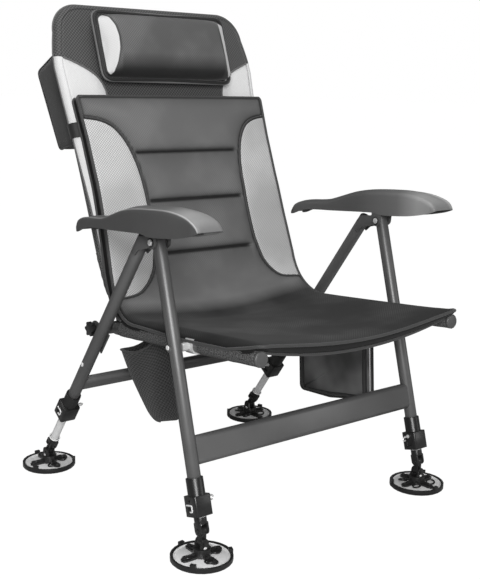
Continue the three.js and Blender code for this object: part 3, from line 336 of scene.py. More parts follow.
# The back and the seat are one cloth: the seat's darker greys are painted shade, and the seat is rougher too.
dark = cover.blend(seat_shade_and_rough, cover.blend(weave * fade, 97, 122), cover.blend(weave * fade, 24, 66))
# painted shade from the attribute: black in the seams and on the walls, softer beside them
dark = cover.blend(cover.grown("painted_shade"), dark, shade_black)
two_cloths(cover, dark, cover.blend(weave * (0.6 + 0.4 * fade), 136, 222), (0.0040, 0.0050))
cover.shade(Roughness=0.58 + 0.3 * seat_shade_and_rough)
cover.relief(weave * fade, 0.0002)

top_cloth = Finish("top panel", 60, 0.7, Sheen_Weight=0.15)
weave = threads(top_cloth, 0.0074)
two_cloths(top_cloth, top_cloth.blend(weave, 22, 94), top_cloth.blend(threads(top_cloth, 0.0042), 204, 222))
top_cloth.relief(weave, 0.0003)

pillow_cloth = Finish("pillow cloth", 74, 0.6, Sheen_Weight=0.25, Sheen_Roughness=0.4)
fade = pillow_cloth.ramp(pillow_cloth.noise(6.0, 3.0, on_cloth=True), 0.4, 0.6, 0.2)
weave = threads(pillow_cloth, 0.006)
# painted shade from the attribute: black at the seams of the moons, darker towards the top edge, the bottom and the
# back
dark = pillow_cloth.blend(pillow_cloth.grown("painted_shade"), pillow_cloth.blend(weave * fade, 74, 112), shade_black)
two_cloths(pillow_cloth, dark, pillow_cloth.blend(weave, 198, 206))
pillow_cloth.relief(weave * fade, 0.0002)

# %% [markdown]
# The solids of the frame are right in shape and size, but they have flat facets and knife-sharp edges. A piece is
# dressed by a copy of its solid whose loose triangles are joined. Its sharp edges get a small rounded chamfer that
# catches the light, and its round faces are shaded smooth.

# %% Dressing a solid
def only(*pieces):
    """Selects the pieces alone, and makes the first one active."""
    bpy.ops.object.select_all(action="DESELECT")
    for piece in pieces:
        piece.select_set(True)
    bpy.context.view_layer.objects.active = pieces[0]


def linked(name, mesh):
    piece = bpy.data.objects.new(name, mesh)
    bpy.context.scene.collection.objects.link(piece)
    return piece


def edited(piece, *tools, start="SELECT"):
    """Runs mesh tools on the whole piece, or with nothing selected at the start."""
    only(piece)
    bpy.ops.object.mode_set(mode="EDIT")
    bpy.ops.mesh.select_all(action=start)
    for tool, settings in tools:
        tool(**settings)
    bpy.ops.object.mode_set(mode="OBJECT")


def painted(piece, finish):
    piece.data.materials.clear()
    piece.data.materials.append(finish.material)
    return piece


def applied(piece, kind, **settings):
    only(piece)
    modifier = piece.modifiers.new(kind.lower(), kind)
    for name, value in settings.items():
        setattr(modifier, name, value)
    bpy.ops.object.modifier_apply(modifier=modifier.name)


def rounded(piece, width, segments=2, sharp=30, smooth=38):
    """Rounds the edges that are sharper than an angle in degrees, and shades the rest smooth."""
    applied(piece, "BEVEL", width=width * mm, segments=segments, limit_method="ANGLE", angle_limit=radians(sharp))
    bpy.ops.object.shade_smooth_by_angle(angle=radians(smooth))


def placed(piece, body, slot, *replaced):
    """Hangs a piece on its body and hides the solids that it stands for. The slot is not used."""
    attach(piece, body)
    if replaced:
        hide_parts(*replaced)
    return piece


def dress(name, finish, slot, edge):
    """A rounded, painted copy of a solid, which rides on the solid's own body."""
    piece = linked(name + "_dressed", nodes[name].data.copy())
    edited(piece, (bpy.ops.mesh.remove_doubles, {"threshold": 1e-5}),
           (bpy.ops.mesh.dissolve_limited, {"angle_limit": radians(1)}))
    rounded(piece, edge, sharp=42)
    return placed(painted(piece, finish), nodes[name]["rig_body"], slot, name)


# %% [markdown]
# The painted members come first. One list says which kind of solid takes which finish, and a loop dresses both
# hands and both ends of each.

# %% Painted, moulded and metal members
members = [
    (("seat_tube", "hinge_bracket", "rear_leg", "rear_crossbar", "rear_hinge_plate", "front_leg", "front_crossbar",
      "back_frame"), paint_grey, "powder_coat", 0.5),
    (("leg_lock", "star_knob", "knuckle", "foot_spider", "mud_foot"), black_plastic, "black_plastic", 0.7),
    (("seat_cap",), arm_plastic, "black_plastic", 0.7),
    (("pivot_saddle", "pivot_bolt", "lock_pin"), plated_steel, "bolt_steel", 0.4),
]
dressed = 0
for kinds, finish, slot, edge in members:
    for name in sorted(nodes):
        if any(name == kind or name.startswith(kind + "_") for kind in kinds):
            dress(name, finish, slot, edge)
            dressed += 1
print("dressed", dressed)

# %% [markdown]
# An inner tube is drawn aluminium above, and its ankle fork is a black casting with bright pin heads. All of it is
# one solid, so the faces of the copy are told apart by their place: how far they lie along the leg, and how far
# out from its middle plane. An ankle has two crossed pins, and the upper one is where the leg ends.

# %% Inner tubes with their ankle forks
leans = {"front": radians(15.6), "rear": radians(-35.739)}
legs = [(end, hand) for end in leans for hand in hands]
ankle_pins = {"front": ("pitch", "sway"), "rear": ("sway", "pitch")}  # the upper one and the lower one
fork_top, fork_half = 27, 13.4  # the casting's height above the pin, and half its width


def joint_place(name):
    return Vector(joints[name]["pos_m"]) / mm


for end, hand in legs:
    ankle = joint_place(f"ankle_{end}_{hand}_{ankle_pins[end][0]}")
    piece = dress(f"inner_tube_{end}_{hand}", bright_tube, "bright_tube", 0.4)
    piece.data.materials.append(black_plastic.material)
    for face in piece.data.polygons:
        away = face.center / mm - ankle
        along = away.y * sin(leans[end]) + away.z * cos(leans[end])
        if along < fork_top and abs(away.x) < fork_half:
            face.material_index = 1

# %% [markdown]
# Two flat drawings carry the soft parts: the plane of the back and the plane of the seat. A point on the back is
# given by its distance across, along and ahead, and one on the seat by across, along and up. Both start at the
# seat hinge, whose place is that of the recline joint.

# %% Planes of the back and the seat
hinge = joint_place("back_recline")
recline, seat_rise = radians(19), radians(4.9)


def on_back(across, along, ahead):
    y = hinge.y + along * np.sin(recline) - ahead * np.cos(recline)
    z = hinge.z + along * np.cos(recline) + ahead * np.sin(recline)
    return np.stack(np.broadcast_arrays(across, y, z), -1) * mm


def on_seat(across, along, up):
    y = hinge.y - along * np.cos(seat_rise) + up * np.sin(seat_rise)
    z = hinge.z + along * np.sin(seat_rise) + up * np.cos(seat_rise)
    return np.stack(np.broadcast_arrays(across, y, z), -1) * mm


# %% [markdown]
# A sewn piece is a grid of points. Where the grid closes round the piece, the last column is joined to the first.
# The grid is laid out as a plane is, and its map holds real distances, so that threads keep their size.

# %% Skins from grids
def skin(name, grid, flat=None, around=False, values=None):
    """A mesh through a grid of points in metres. flat holds the cloth map, and values the attributes."""
    rows, columns = grid.shape[:2]
    index = np.arange(rows * columns).reshape(rows, columns)
    if around:
        index = np.concatenate([index, index[:, :1]], 1)
    faces = np.stack([index[:-1, :-1], index[:-1, 1:], index[1:, 1:], index[1:, :-1]], -1).reshape(-1, 4)
    mesh = bpy.data.meshes.new(name)
    mesh.from_pydata(grid.reshape(-1, 3).tolist(), [], faces.tolist())
    if flat is not None:
        layer = mesh.uv_layers.new(name="cloth")
        corners = np.zeros(len(mesh.loops), int)
        mesh.loops.foreach_get("vertex_index", corners)
        layer.data.foreach_set("uv", flat.reshape(-1, 2)[corners].ravel())
    for label, value in (values or {}).items():
        attribute = mesh.attributes.new(label, "FLOAT", "POINT")
        attribute.data.foreach_set("value", np.asarray(value, float).ravel())
    piece = linked(name, mesh)
    edited(piece, (bpy.ops.mesh.remove_doubles, {"threshold": 2e-6}),
           (bpy.ops.mesh.normals_make_consistent, {"inside": False}))
    bpy.ops.object.shade_smooth()
    return piece


def thick(piece, thickness, finish, offset=-1):
    """Gives a skin the thickness of its cloth."""
    applied(piece, "SOLIDIFY", thickness=thickness * mm, offset=offset)
    return painted(piece, finish)


def run_along(points):
    """The distance run along a row of points, from its start to each of them."""
    return np.concatenate([[0], np.cumsum(np.linalg.norm(np.diff(points, axis=0), axis=1))])


def circle(count):
    return np.linspace(0, 2 * pi, count + 1)[:-1]


def at(places, stops):
    """The value at each place, on straight lines from stop to stop."""
    return np.interp(places, *zip(*stops))


def curve_through(stops, count):
    """Count points on a smooth curve through the stops."""
    stops = np.asarray(stops, float)
    reach = run_along(stops)
    padded = np.concatenate([[2 * stops[0] - stops[1]], stops, [2 * stops[-1] - stops[-2]]])
    out = []
    for want in np.linspace(0, reach[-1], count):
        i = min(np.searchsorted(reach, want, side="right") - 1, len(stops) - 2)
        t = (want - reach[i]) / (reach[i + 1] - reach[i])
        a, b, c, d = padded[i:i + 4]
        out.append(0.5 * (2 * b + (c - a) * t + (2 * a - 5 * b + 4 * c - d) * t * t
                          + (3 * b - a - 3 * c + d) * t ** 3))
    return np.array(out)


# %% [markdown]
# Piping, binding and zips are cords sewn along a line of points. A cord is a tube of eight sides. Its sides are
# carried along the line without twisting, and an open cord is closed at its two ends.

# %% Cords along a line
def piping(name, points, radius, finish, closed=False):
    """A round cord sewn along the given points, as a mesh with its own cloth map."""
    points = np.asarray(points, float)
    ahead = np.roll(points, -1, 0) - points
    behind = points - np.roll(points, 1, 0)
    if not closed:
        ahead[-1], behind[0] = behind[-1], ahead[0]
    tangent = ahead + behind
    tangent /= np.linalg.norm(tangent, axis=1, keepdims=True)
    normal = np.zeros_like(tangent)
    seed = np.cross(tangent[0], (0.3, 0.5, 0.8))
    for i, way in enumerate(tangent):
        seed = seed - way * (seed @ way)
        seed /= np.linalg.norm(seed)
        normal[i] = seed
    other = np.cross(tangent, normal)
    sides = 8
    turn = np.arange(sides) * 2 * pi / sides
    grid = (points[:, None] + radius * mm * (np.cos(turn)[None, :, None] * normal[:, None]
                                             + np.sin(turn)[None, :, None] * other[:, None]))
    run = run_along(points)
    if closed:
        grid = np.concatenate([grid, grid[:1]], 0)
        run = np.append(run, run[-1] + np.linalg.norm(points[0] - points[-1]))
    piece = skin(name, grid, np.stack(np.meshgrid(turn * radius * mm, run), -1), around=True)
    if not closed:
        edited(piece, (bpy.ops.mesh.select_non_manifold, {}), (bpy.ops.mesh.edge_face_add, {}), start="DESELECT")
    return painted(piece, finish)


def cord(name, points, radius, finish, body, closed=False, slot="black_fabric"):
    """Piping that rides on one body."""
    return placed(piping(name, points, radius, finish, closed), body, slot)


# %% [markdown]
# ## The padded cover
# One long quilted cover runs from the shoulders down the back and forward over the seat. Its back has two
# cloths, a dark one in the middle and a pale mesh in a lens shape at each side, with piping along the seam and
# three sewn channels across. On the real chair it is foam between two cloths with a bound edge. So it is made as a
# closed skin, a row of cross sections along the cover, each with a flat underside, side walls and a crown.

# %% Measures of the cover
cover_top, cover_front = 489, 514
cover_bend_from, cover_bend_to = 108, 128  # where it leaves the back, and where it lies down on the seat
cover_rest = 13.9  # its underside, ahead of the back frame
back_halves = [(0, 253), (0.25, 248), (0.5, 246), (0.75, 247), (1, 252)]
seat_half, pad_half = 252, 265
back_corner, front_corner = 12, 30
sling_edge_up, sling_sag = 14.4, 30
edge_at_top, edge_at_hip, edge_at_seat = 22, 27, 10.5
crown_on_back, crown_on_seat = 10, 11
channels = [(361, 139), (252, 128), (135, 127)]  # station, and how far they run to each side
channel_depth, channel_width = 11, 7.5
lens_seam = [(266, 444), (243, 441.5), (208, 434), (180, 418), (158.5, 388), (145, 350), (138, 310), (135.5, 265),
             (134.5, 215), (137, 162), (143, 131), (154, 94), (176, 54), (200, 26), (238, 10), (266, 6)]
seam_depth = 4.5


def sling_up(across):
    return sling_edge_up - sling_sag * (1 - np.minimum(1, np.abs(across) / seat_half) ** 2)


def edge_droop(across, along):
    """How far the edge of the cover hangs down beside the seat tube."""
    out = np.clip((np.abs(across) - 240) / 25, 0, 1)
    return 15 * out ** 1.5 * at(along, [(60, 0.3), (130, 0.45), (280, 1), (420, 1), (500, 0.1)])


# %% [markdown]
# A place on the cover is given by its distance across and by its station: the distance above the hinge on the
# back, and less than zero on the seat. Between the two planes the path is a smooth bend, whose knee lies where the
# two straight lines would meet.

# %% The cover's path
ease = np.array([0, 0.3, 1, 2.2, 4, 6.4])
back_stations = np.concatenate([cover_top - ease, np.arange(cover_top - 9.5, cover_bend_from + 1, -3.0)])
seat_stations = np.concatenate([np.arange(cover_bend_to + 3, cover_front - 8, 3.6), cover_front - ease[::-1]])
bend_rows = 44
station = np.concatenate([back_stations, np.linspace(cover_bend_from, -cover_bend_to, bend_rows), -seat_stations])
rows = len(station)
bend_length = cover_bend_from + cover_bend_to
bend_share = np.clip((cover_bend_from - station) / bend_length, 0, 1)[:, None]
down = on_back(0.0, cover_bend_from, 0.0) - on_back(0.0, cover_bend_from + 1.0, 0.0)
forth = on_seat(0.0, 1.0, 0.0) - on_seat(0.0, 0.0, 0.0)
drift = np.interp(station, [-100, 63, 106, 174, 271, 379, 474], [0, 7, 8, 9, 9.5, 6.3, 3.4])  # it lies to the right


def raised(across, lift):
    """Points at every station, square above the underside by lift, for a line with its own distance across."""
    across = np.broadcast_to(np.asarray(across, float), (rows,))
    start = on_back(across, cover_bend_from, cover_rest)
    end = on_seat(across, cover_bend_to, sling_up(across) - edge_droop(across, cover_bend_to))
    gap = end - start
    knee = start + down * ((gap[:, 1] * forth[2] - gap[:, 2] * forth[1])
                           / (down[1] * forth[2] - down[2] * forth[1]))[:, None]
    bend = (1 - bend_share) ** 2 * start + 2 * bend_share * (1 - bend_share) * knee + bend_share ** 2 * end
    upper = on_back(across, station, cover_rest)
    lower = on_seat(across, -station, sling_up(across) - edge_droop(across, -station))
    points = np.where(bend_share <= 0, upper, np.where(bend_share >= 1, lower, bend))
    way = np.gradient(points, axis=0)
    way[:, 0] = 0
    way /= np.linalg.norm(way, axis=1, keepdims=True)
    square = np.stack([np.zeros(rows), way[:, 2], -way[:, 1]], -1)
    points[:, 0] += drift * mm
    return points + square * (np.broadcast_to(lift, (rows,)) * mm)[:, None]


# %% [markdown]
# The thickness has four parts: an even edge, a crown that is full in the middle, a sharp valley at each channel
# with puckers beside it, and a softer valley where the pale panels are sewn in.

# %% Thickness of the cover
back_share = np.clip((station + cover_bend_to) / bend_length, 0, 1)
back_share = back_share ** 2 * (3 - 2 * back_share)
along_back = np.clip((station - cover_bend_from) / (cover_top - cover_bend_from), 0, 1)
half = at(along_back, back_halves) * back_share + pad_half * (1 - back_share)
for distance, corner in ((cover_top - station, back_corner), (cover_front + station, front_corner)):
    inside = np.clip(corner - distance, 0, corner)
    half = half - (corner - np.sqrt(corner ** 2 - inside ** 2))
edge = edge_at_seat + back_share * (edge_at_hip + (edge_at_top - edge_at_hip) * along_back - edge_at_seat)
crown = crown_on_seat + back_share * (crown_on_back - crown_on_seat)


def lens_inside(across, place):
    """Distance inside the pale side panel, less than zero outside it."""
    seam = curve_through(lens_seam, 120)
    points = np.stack([np.abs(across).ravel(), place.ravel()], -1)
    away = np.full(len(points), 1e9)
    inside = np.zeros(len(points), bool)
    for a, b in zip(seam[:-1], seam[1:]):
        way = b - a
        t = np.clip(((points - a) @ way) / (way @ way), 0, 1)
        away = np.minimum(away, np.linalg.norm(points - a - t[:, None] * way, axis=1))
        crosses = (a[1] > points[:, 1]) != (b[1] > points[:, 1])
        where = a[0] + (points[:, 1] - a[1]) / (b[1] - a[1] + 1e-12) * way[0]
        inside ^= crosses & (points[:, 0] > where)
    return np.where(inside, away, -away).reshape(across.shape)


def end_rise(distance):
    """From 0 at an end of the cover to 1, which is reached 50 mm from it."""
    return np.sin(np.clip(distance / 50, 0, 1) * pi / 2)


def cover_swell(across):
    """Thickness at every station, at a distance across."""
    across = np.broadcast_to(np.asarray(across, float), (rows,))
    share = np.clip(np.abs(across) / half, 0, 1)
    fullness = end_rise(cover_top - station) * (0.7 + 0.3 * end_rise(cover_front + station))
    swell = edge + crown * (1 - share ** 4) * fullness
    for middle, reach in channels:
        fade = 1 / (1 + np.exp((np.abs(across) - reach) / 2.5))
        away = np.abs(station - middle)
        pucker = 0.7 * np.sin(across / 4.1 + middle) * np.sin(across / 2.3) * np.exp(-((away - 9) / 9) ** 2)
        swell = swell - fade * (channel_depth * np.exp(-away / channel_width) + pucker)
    seam = np.abs(lens_inside(across, station))
    return swell - seam_depth * np.exp(-seam / 6) * np.clip((half - np.abs(across)) / 8, 0, 1)


print("stations along the cover", rows, "thickest", round(float(cover_swell(0).max()), 1), "mm")

# %% [markdown]
# A ring of columns goes round each cross section: the underside, one wall, the top and the other wall. Three values
# go with the points: the distance inside the pale panel, the painted shade of the seams, channels, rim, walls and
# underside, and the painted shade of the seat.
# go with the points: the distance inside the pale panel, the dark of the seams and channels, and the seat's tone.

# %% The cover's skin
top_columns, under_columns = 104, 18
wall_steps = (0.25, 0.5, 0.75)
wall_in, edge_round = 2.6, 3.2
ring = ([(share, 0.0) for share in np.linspace(-1, 1, under_columns + 1)] + [(1, step) for step in wall_steps]
        + [(share, 1.0) for share in np.linspace(1, -1, top_columns + 1)]
        + [(-1, step) for step in wall_steps[::-1]])
ends = np.clip(np.minimum(cover_top - station, cover_front + station) / 6.4, 0, 1)
end_round = np.sqrt(1 - (1 - ends) ** 2)
front_tuck, front_tuck_from = 20, 40  # how far the foot of the front edge lies behind its top
tucked = front_tuck * np.clip((front_tuck_from - cover_front - station) / front_tuck_from, 0, 1) ** 2
cover_grid, cover_across = np.zeros((rows, len(ring), 3)), np.zeros((rows, len(ring)))
for column, (share, level) in enumerate(ring):
    rim = np.clip((1 - abs(share)) * half / 7, 0, 1) if level == 1 else 0
    swell = cover_swell(half * share) * end_round - edge_round * (1 - np.sqrt(1 - (1 - rim) ** 2))
    across = half * share - np.sign(share) * (wall_in * sin(pi * level) if abs(share) == 1 else 0)
    cover_across[:, column] = across
    cover_grid[:, column] = raised(across, swell * level) - forth * (tucked * (1 - level * end_round))[:, None]

place = np.broadcast_to(station[:, None], cover_across.shape)
lens = lens_inside(cover_across, place)
to_rim = np.minimum(half[:, None] - np.abs(cover_across), np.minimum(cover_top - place, cover_front + place))
valley, valley_fade = 3.5, 18  # the widths of the painted shade: the black in a seam, and the softer shade beside it
# painted shade: black in the seams of the pale panels and along the rim, softer beside them
painted_shade = np.maximum.reduce([np.exp(-(np.maximum(np.abs(lens) - 2.5, 0) / valley) ** 2),
                            0.5 * np.exp(-np.abs(lens) / valley_fade),
                            np.exp(-(np.maximum(to_rim - 4, 0) / valley) ** 2),
                            0.55 * np.exp(-np.maximum(to_rim, 0) / valley_fade)])
on_top = np.array([level == 1 for _, level in ring])
# the walls and the underside are painted black, as shade
painted_shade[:, ~on_top] = 1
# painted shade in each channel, and over a wide band below it
for middle, reach in channels:
    away = place - middle
    line = np.exp(-(away / 3.8) ** 2) + np.where(away > 0, 0.35 * np.exp(-away / 8), 0.5 * np.exp(away / 34))
    painted_shade = np.maximum(painted_shade, np.minimum(line, 1) / (1 + np.exp((np.abs(cover_across) - reach) / 2)))
# the seat is painted darker, as shade
seat_shade_value = np.clip((-12 - place) / 60, 0, 1)
cover_run = np.broadcast_to(run_along(raised(0, 0))[:, None], cover_across.shape)
padded_cover = skin("padded_cover", cover_grid, np.stack([cover_across * mm, cover_run], -1), around=True,
                    values={"panel": np.where(on_top, lens, -50.0) * mm, "painted_shade": painted_shade, "seat": seat_shade_value})
painted(padded_cover, cover)
blend_from, blend_to = on_seat(0.0, 110.0, 0.0).tolist(), on_back(0.0, 95.0, 20.0).tolist()


def bent(piece):
    """Bakes the place of a part of the cover into its mesh; it hangs on no body."""
    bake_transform(piece)


bent(padded_cover)
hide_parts("seat_pad", "back_pad")
print("cover faces", len(padded_cover.data.polygons))

# %% [markdown]
# The edge of the cover is bound twice, round its front face and round its back, and a cord is sewn into each seam
# of the pale panels. These lines of points lie on the cover itself.

# %% Piping of the cover
cord_low, cord_in = 1.4, 1.0  # above the underside, and under the top


def cover_at(across, place, lift):
    """Points above the cloth of the cover, at distances across and stations along it."""
    out = []
    for x, s in zip(across, place):
        line = raised(x, cover_swell(x) + lift)
        out.append([np.interp(-s, -station, line[:, axis]) for axis in range(3)])
    return np.array(out)


def edge_line(across, level):
    """A line along the cover, at its foot for level 0 and at its top for level 1."""
    return raised(across, (cover_swell(across) - cord_in) * level + cord_low * (1 - level))


def across_end(row, level):
    return [edge_line(x, level)[row] for x in np.linspace(-half[row], half[row], 50)]


first, last = 3, rows - 5
cut = int(np.argmin(np.abs(station + 60)))  # the lower cord ends where the cover bends
upper = np.concatenate([edge_line(-half, 1.0)[first:last], across_end(last, 1.0),
                        edge_line(half, 1.0)[first:last][::-1], across_end(first, 1.0)[::-1]])
lower = np.concatenate([edge_line(-half, 0.0)[first:cut][::-1], across_end(first, 0.0),
                        edge_line(half, 0.0)[first:cut]])
bent(piping("cover_piping_upper", upper, 3.2, binding_cloth, closed=True))
bent(piping("cover_piping_lower", lower, 2.6, binding_cloth))
seam = curve_through(lens_seam, 100)
seam = seam[seam[:, 0] < np.interp(-seam[:, 1], -station, half) - 1]
for hand, side in hands.items():
    bent(piping(f"lens_piping_{hand}", cover_at(seam[:, 0] * side, seam[:, 1], 1.2), 2.2, binding_cloth))

# %% [markdown]
# ## The sling of the back
# Behind the padded cover the frame carries a cloth of its own: a dark diamond weave at the top and pale mesh below
# it at the sides. The cloth turns round the bent tube and is sewn on its outside with a grey piping. The sheet
# follows the axis of the tube, so its edge is worked out from the tube's own bends.

# %% Measures of the sling
back_length = 689
sleeve_radius = 12.6
corner_half, corner_radius = 242, 53
corner_from = back_length - corner_radius  # where the uprights begin to turn in
tube_stops = [(42, 218), (89, 226), (162, 232), (236, 233.9), (309, 236.4), (392, 240), (500, 249), (560, 253.5),
              (590, 251.5), (615, 247), (636, 242)]
sling_foot = 62
pale_seam = [(330, 596), (290, 588), (266, 583), (243, 576), (213, 563), (190, 550), (172, 534), (162, 514),
             (158, 490), (158, 440)]
pale_foot = 158
seam_turns = [(157, 50), (260, 56), (350, 76), (430, 95), (690, 98)]  # where the piping lies, round from the front


def tube_half(along):
    """Half the distance between the two uprights at a height on the back."""
    along = np.asarray(along, float)
    over = np.clip(along - corner_from, 0, corner_radius)
    return at(along, tube_stops) - (corner_radius - np.sqrt(corner_radius ** 2 - over ** 2))


def tube_line(count):
    """Points on the tube's axis, from one foot over the top to the other, and the way out from it."""
    rise = np.linspace(sling_foot, corner_from, count)
    turn = np.linspace(0, pi / 2, 14)[1:]
    corner = np.stack([-(corner_half - corner_radius) - corner_radius * np.cos(turn),
                       corner_from + corner_radius * np.sin(turn)], -1)
    top = np.stack([np.linspace(-(corner_half - corner_radius), 0, 24)[1:], np.full(23, back_length)], -1)
    left = np.concatenate([np.stack([-tube_half(rise), rise], -1), corner, top])
    line = np.concatenate([left, (left * (-1, 1))[-2::-1]])
    way = np.gradient(line, axis=0)
    way /= np.linalg.norm(way, axis=1, keepdims=True)
    return line, np.stack([-way[:, 1], way[:, 0]], -1)


def pale_side(across, along):
    """Distance inside the pale mesh of the sling, less than zero in its dark cloth."""
    seam = curve_through(pale_seam, 80)
    limit = np.interp(along, seam[::-1, 1], seam[::-1, 0], left=158, right=400)
    return np.minimum(np.abs(across) - limit, along - pale_foot)


# %% [markdown]
# The flat part and the turned edge are two skins that are joined. On the turned edge the grid goes from the front
# of the tube to the seam in eight steps, and from there to the back in eight more. Past the seam the cloth is dark.

# %% The sling's sheet and its turned edge
sheet_columns, edge_steps = 81, 9
edge_turn = pi * 1.02
heights = np.concatenate([np.linspace(sling_foot, corner_from, 100),
                          corner_from + corner_radius * np.sin(np.linspace(0, pi / 2, 16)[1:])])
across = tube_half(heights)[:, None] * np.linspace(-1, 1, sheet_columns)[None]
along = np.broadcast_to(heights[:, None], across.shape)
back_sheet = skin("back_sheet", on_back(across, along, sleeve_radius), np.stack([across, along], -1) * mm,
                  values={"panel": pale_side(across, along) * mm})
thick(back_sheet, 1.2, top_cloth)

line, out = tube_line(100)
seam_at = np.radians(at(line[:, 1], seam_turns))[:, None]
share = np.linspace(0, 1, edge_steps)
turns = np.concatenate([seam_at * share, seam_at + (edge_turn - seam_at) * share[1:]], 1)
spot = line[:, None] + out[:, None] * (sleeve_radius * np.sin(turns))[..., None]
unrolled = line[:, None] + out[:, None] * (sleeve_radius * turns)[..., None]
before_seam = np.where(np.arange(turns.shape[1]) < edge_steps, 1, -1) * 50
panel = np.minimum(pale_side(unrolled[..., 0], unrolled[..., 1]), before_seam[None])
back_sleeve = skin("back_sleeve", on_back(spot[..., 0], spot[..., 1], sleeve_radius * np.cos(turns)), unrolled * mm,
                   values={"panel": panel * mm})
thick(back_sleeve, 1.2, top_cloth, offset=1)
only(back_sheet, back_sleeve)
bpy.ops.object.join()
placed(back_sheet, "back", "pale_mesh", "back_sling")

# %% [markdown]
# The sheet is cut from a flat cloth as wide as the widest place between the uprights and as high as the back, with
# a hem on each side that turns round the tube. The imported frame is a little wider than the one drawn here, and its
# measures give the size of the cloth.

# %% The flat cloth of the sling
packed_stops = [(42, 218), (89, 223), (162, 232.4), (236, 243.9), (309, 251.1), (392, 254), (636, 254)]
packed_length, packed_half, packed_radius = 690, 254, 55
sheet_area = float(np.sum(2 * tube_half(heights[:-1]) * np.diff(heights)) * mm * mm)

# %% [markdown]
# One grey piping follows the seam of the turned edge from foot to foot, and two more lie on the seams where the
# dark cloth meets the pale mesh.

# %% Piping of the sling
piping_out = sleeve_radius + 1.2
edge_spot = line + out * piping_out * np.sin(seam_at)
cord("sling_piping", on_back(*edge_spot.T, piping_out * np.cos(seam_at[:, 0])), 2.0, grey_piping, "back",
     slot="pale_mesh")
seam = curve_through(pale_seam, 70)
seam = seam[seam[:, 0] < tube_half(seam[:, 1])]
for hand, side in hands.items():
    points = on_back(seam[:, 0] * side, seam[:, 1], sleeve_radius + 1.0)
    cord(f"sling_seam_{hand}", points, 2.0, grey_piping, "back", slot="pale_mesh")

# %% [markdown]
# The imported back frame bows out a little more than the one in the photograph, and it doesn't draw in below its top
# corners. The dressed copy is cut into short lengths and moved to the line that the sling follows: the corners about
# a new centre, the top rail with them, and the uprights straight in.

# %% The uprights drawn in to the line of the photograph
uprights = bpy.data.objects["back_frame_dressed"]
for height in (450, 500, 530, 560, 575, 590, 603, 615):
    edited(uprights, (bpy.ops.mesh.bisect, {"plane_co": on_back(0.0, height, 0.0).tolist(),
                                            "plane_no": (0, sin(recline), cos(recline))}))
packed_corner, packed_from = packed_half - packed_radius, packed_length - packed_radius
for vertex in uprights.data.vertices:
    y, z = vertex.co.y / mm - hinge.y, vertex.co.z / mm - hinge.z
    along, ahead = y * sin(recline) + z * cos(recline), -y * cos(recline) + z * sin(recline)
    across = vertex.co.x / mm
    if along > packed_from - 0.1 and abs(across) > packed_corner - 0.1:
        turned_out = Vector((abs(across) - packed_corner, along - packed_from))
        turned_out *= (turned_out.length - packed_radius + corner_radius) / turned_out.length
        across = np.sign(across) * (corner_half - corner_radius + turned_out.x)
        along = corner_from + turned_out.y
    elif along > packed_from:
        along -= packed_length - back_length
    elif along > 42 and abs(across) > 0.2:
        across -= np.sign(across) * (float(at(along, packed_stops)) - float(tube_half(along)))
    vertex.co = on_back(across, along, ahead).tolist()

# %% [markdown]
# Two plain webbing straps, one at each side, go round the upright and hold the padded cover and the bag. Lower
# down, a rough black sleeve covers the tube where the chair rubs when it folds. Rough cloth gets small wrinkles,
# which are two waves that run askew to each other.

# %% Straps and lower sleeves
tubes = {"back": (on_back, tube_half), "seat": (on_seat, lambda along: seat_half)}


def tube_cloth(name, body, side, low, high, radius, finish, thickness=1.0, count=24, wrinkle=0.0, waves=(3.5, 17)):
    """A sleeve round the tube at one side of the back or of the seat, between two places along it."""
    place, across = tubes[body]
    along, turn = np.meshgrid(np.linspace(low, high, count), circle(32), indexing="ij")
    reach = radius + wrinkle * np.sin(along / waves[0] + 2 * np.sin(turn)) * np.sin(turn * 3 + along / waves[1])
    grid = place(side * across(along) + reach * np.cos(turn), along, reach * np.sin(turn))
    piece = skin(name, grid, np.stack([turn * radius, along], -1) * mm, around=True)
    placed(thick(piece, thickness, finish), body, "black_fabric")


strap_span, rough_span = (404, 436), (66, 157)
for hand, side in hands.items():
    tube_cloth(f"upright_strap_{hand}", "back", side, *strap_span, sleeve_radius + 4, black_band)
    tube_cloth(f"upright_sleeve_{hand}", "back", side, *rough_span, sleeve_radius + 2.4, heather_cloth, 1.0, 50, 0.5)

# %% [markdown]
# ## The head pillow
# The pillow is a stuffed bolster with a pale half-moon at each end, where it slopes down steeply. A flat lip runs
# round its foot, bound with grey piping. It starts a little slack and is blown up by a short cloth simulation, so
# that the cloth pulls between its seams as on the real one.

# %% Shape of the pillow
pillow_from, pillow_to, pillow_half = 523, 671, 174
pillow_ahead, pillow_front, pillow_rear = 41, 31, 27
end_from = 138
moon_stops = [(-1.0, 168), (-0.85, 156), (-0.56, 148), (-0.2, 142), (0.15, 140), (0.5, 142), (0.8, 148), (1.0, 160)]
pillow_middle, pillow_reach = 0.5 * (pillow_from + pillow_to), 0.5 * (pillow_to - pillow_from)

u = np.sin(np.linspace(-pi / 2, pi / 2, 111)) * 0.55 + np.linspace(-1, 1, 111) * 0.45
U, T = np.meshgrid(u, circle(80), indexing="ij")
V = np.cos(T)
across = U * (1 - 0.03 * V ** 4) * pillow_half
along = pillow_middle + V * (1 - 0.1 * np.abs(U) ** 7) * pillow_reach
sloped = np.clip((np.abs(across) - end_from) / (pillow_half - end_from), 0, 1)
full = (1 - sloped ** 1.25) * np.abs(np.sin(T)) ** 0.8
ahead = pillow_ahead + np.where(np.sin(T) >= 0, pillow_front, -pillow_rear) * full
level = np.clip((along - pillow_middle) / pillow_reach, -1, 1)
moon = np.minimum(np.abs(across) - at(level, moon_stops), ahead - pillow_ahead - 4.0)
shade = np.maximum.reduce([0.9 * np.exp(-((moon + 1) / 3) ** 2), np.clip((-0.3 - level) / 0.5, 0, 0.95),
                           0.8 * np.clip((level - 0.86) / 0.14, 0, 1)])
shade = np.where(ahead < pillow_ahead, 0.9, shade)
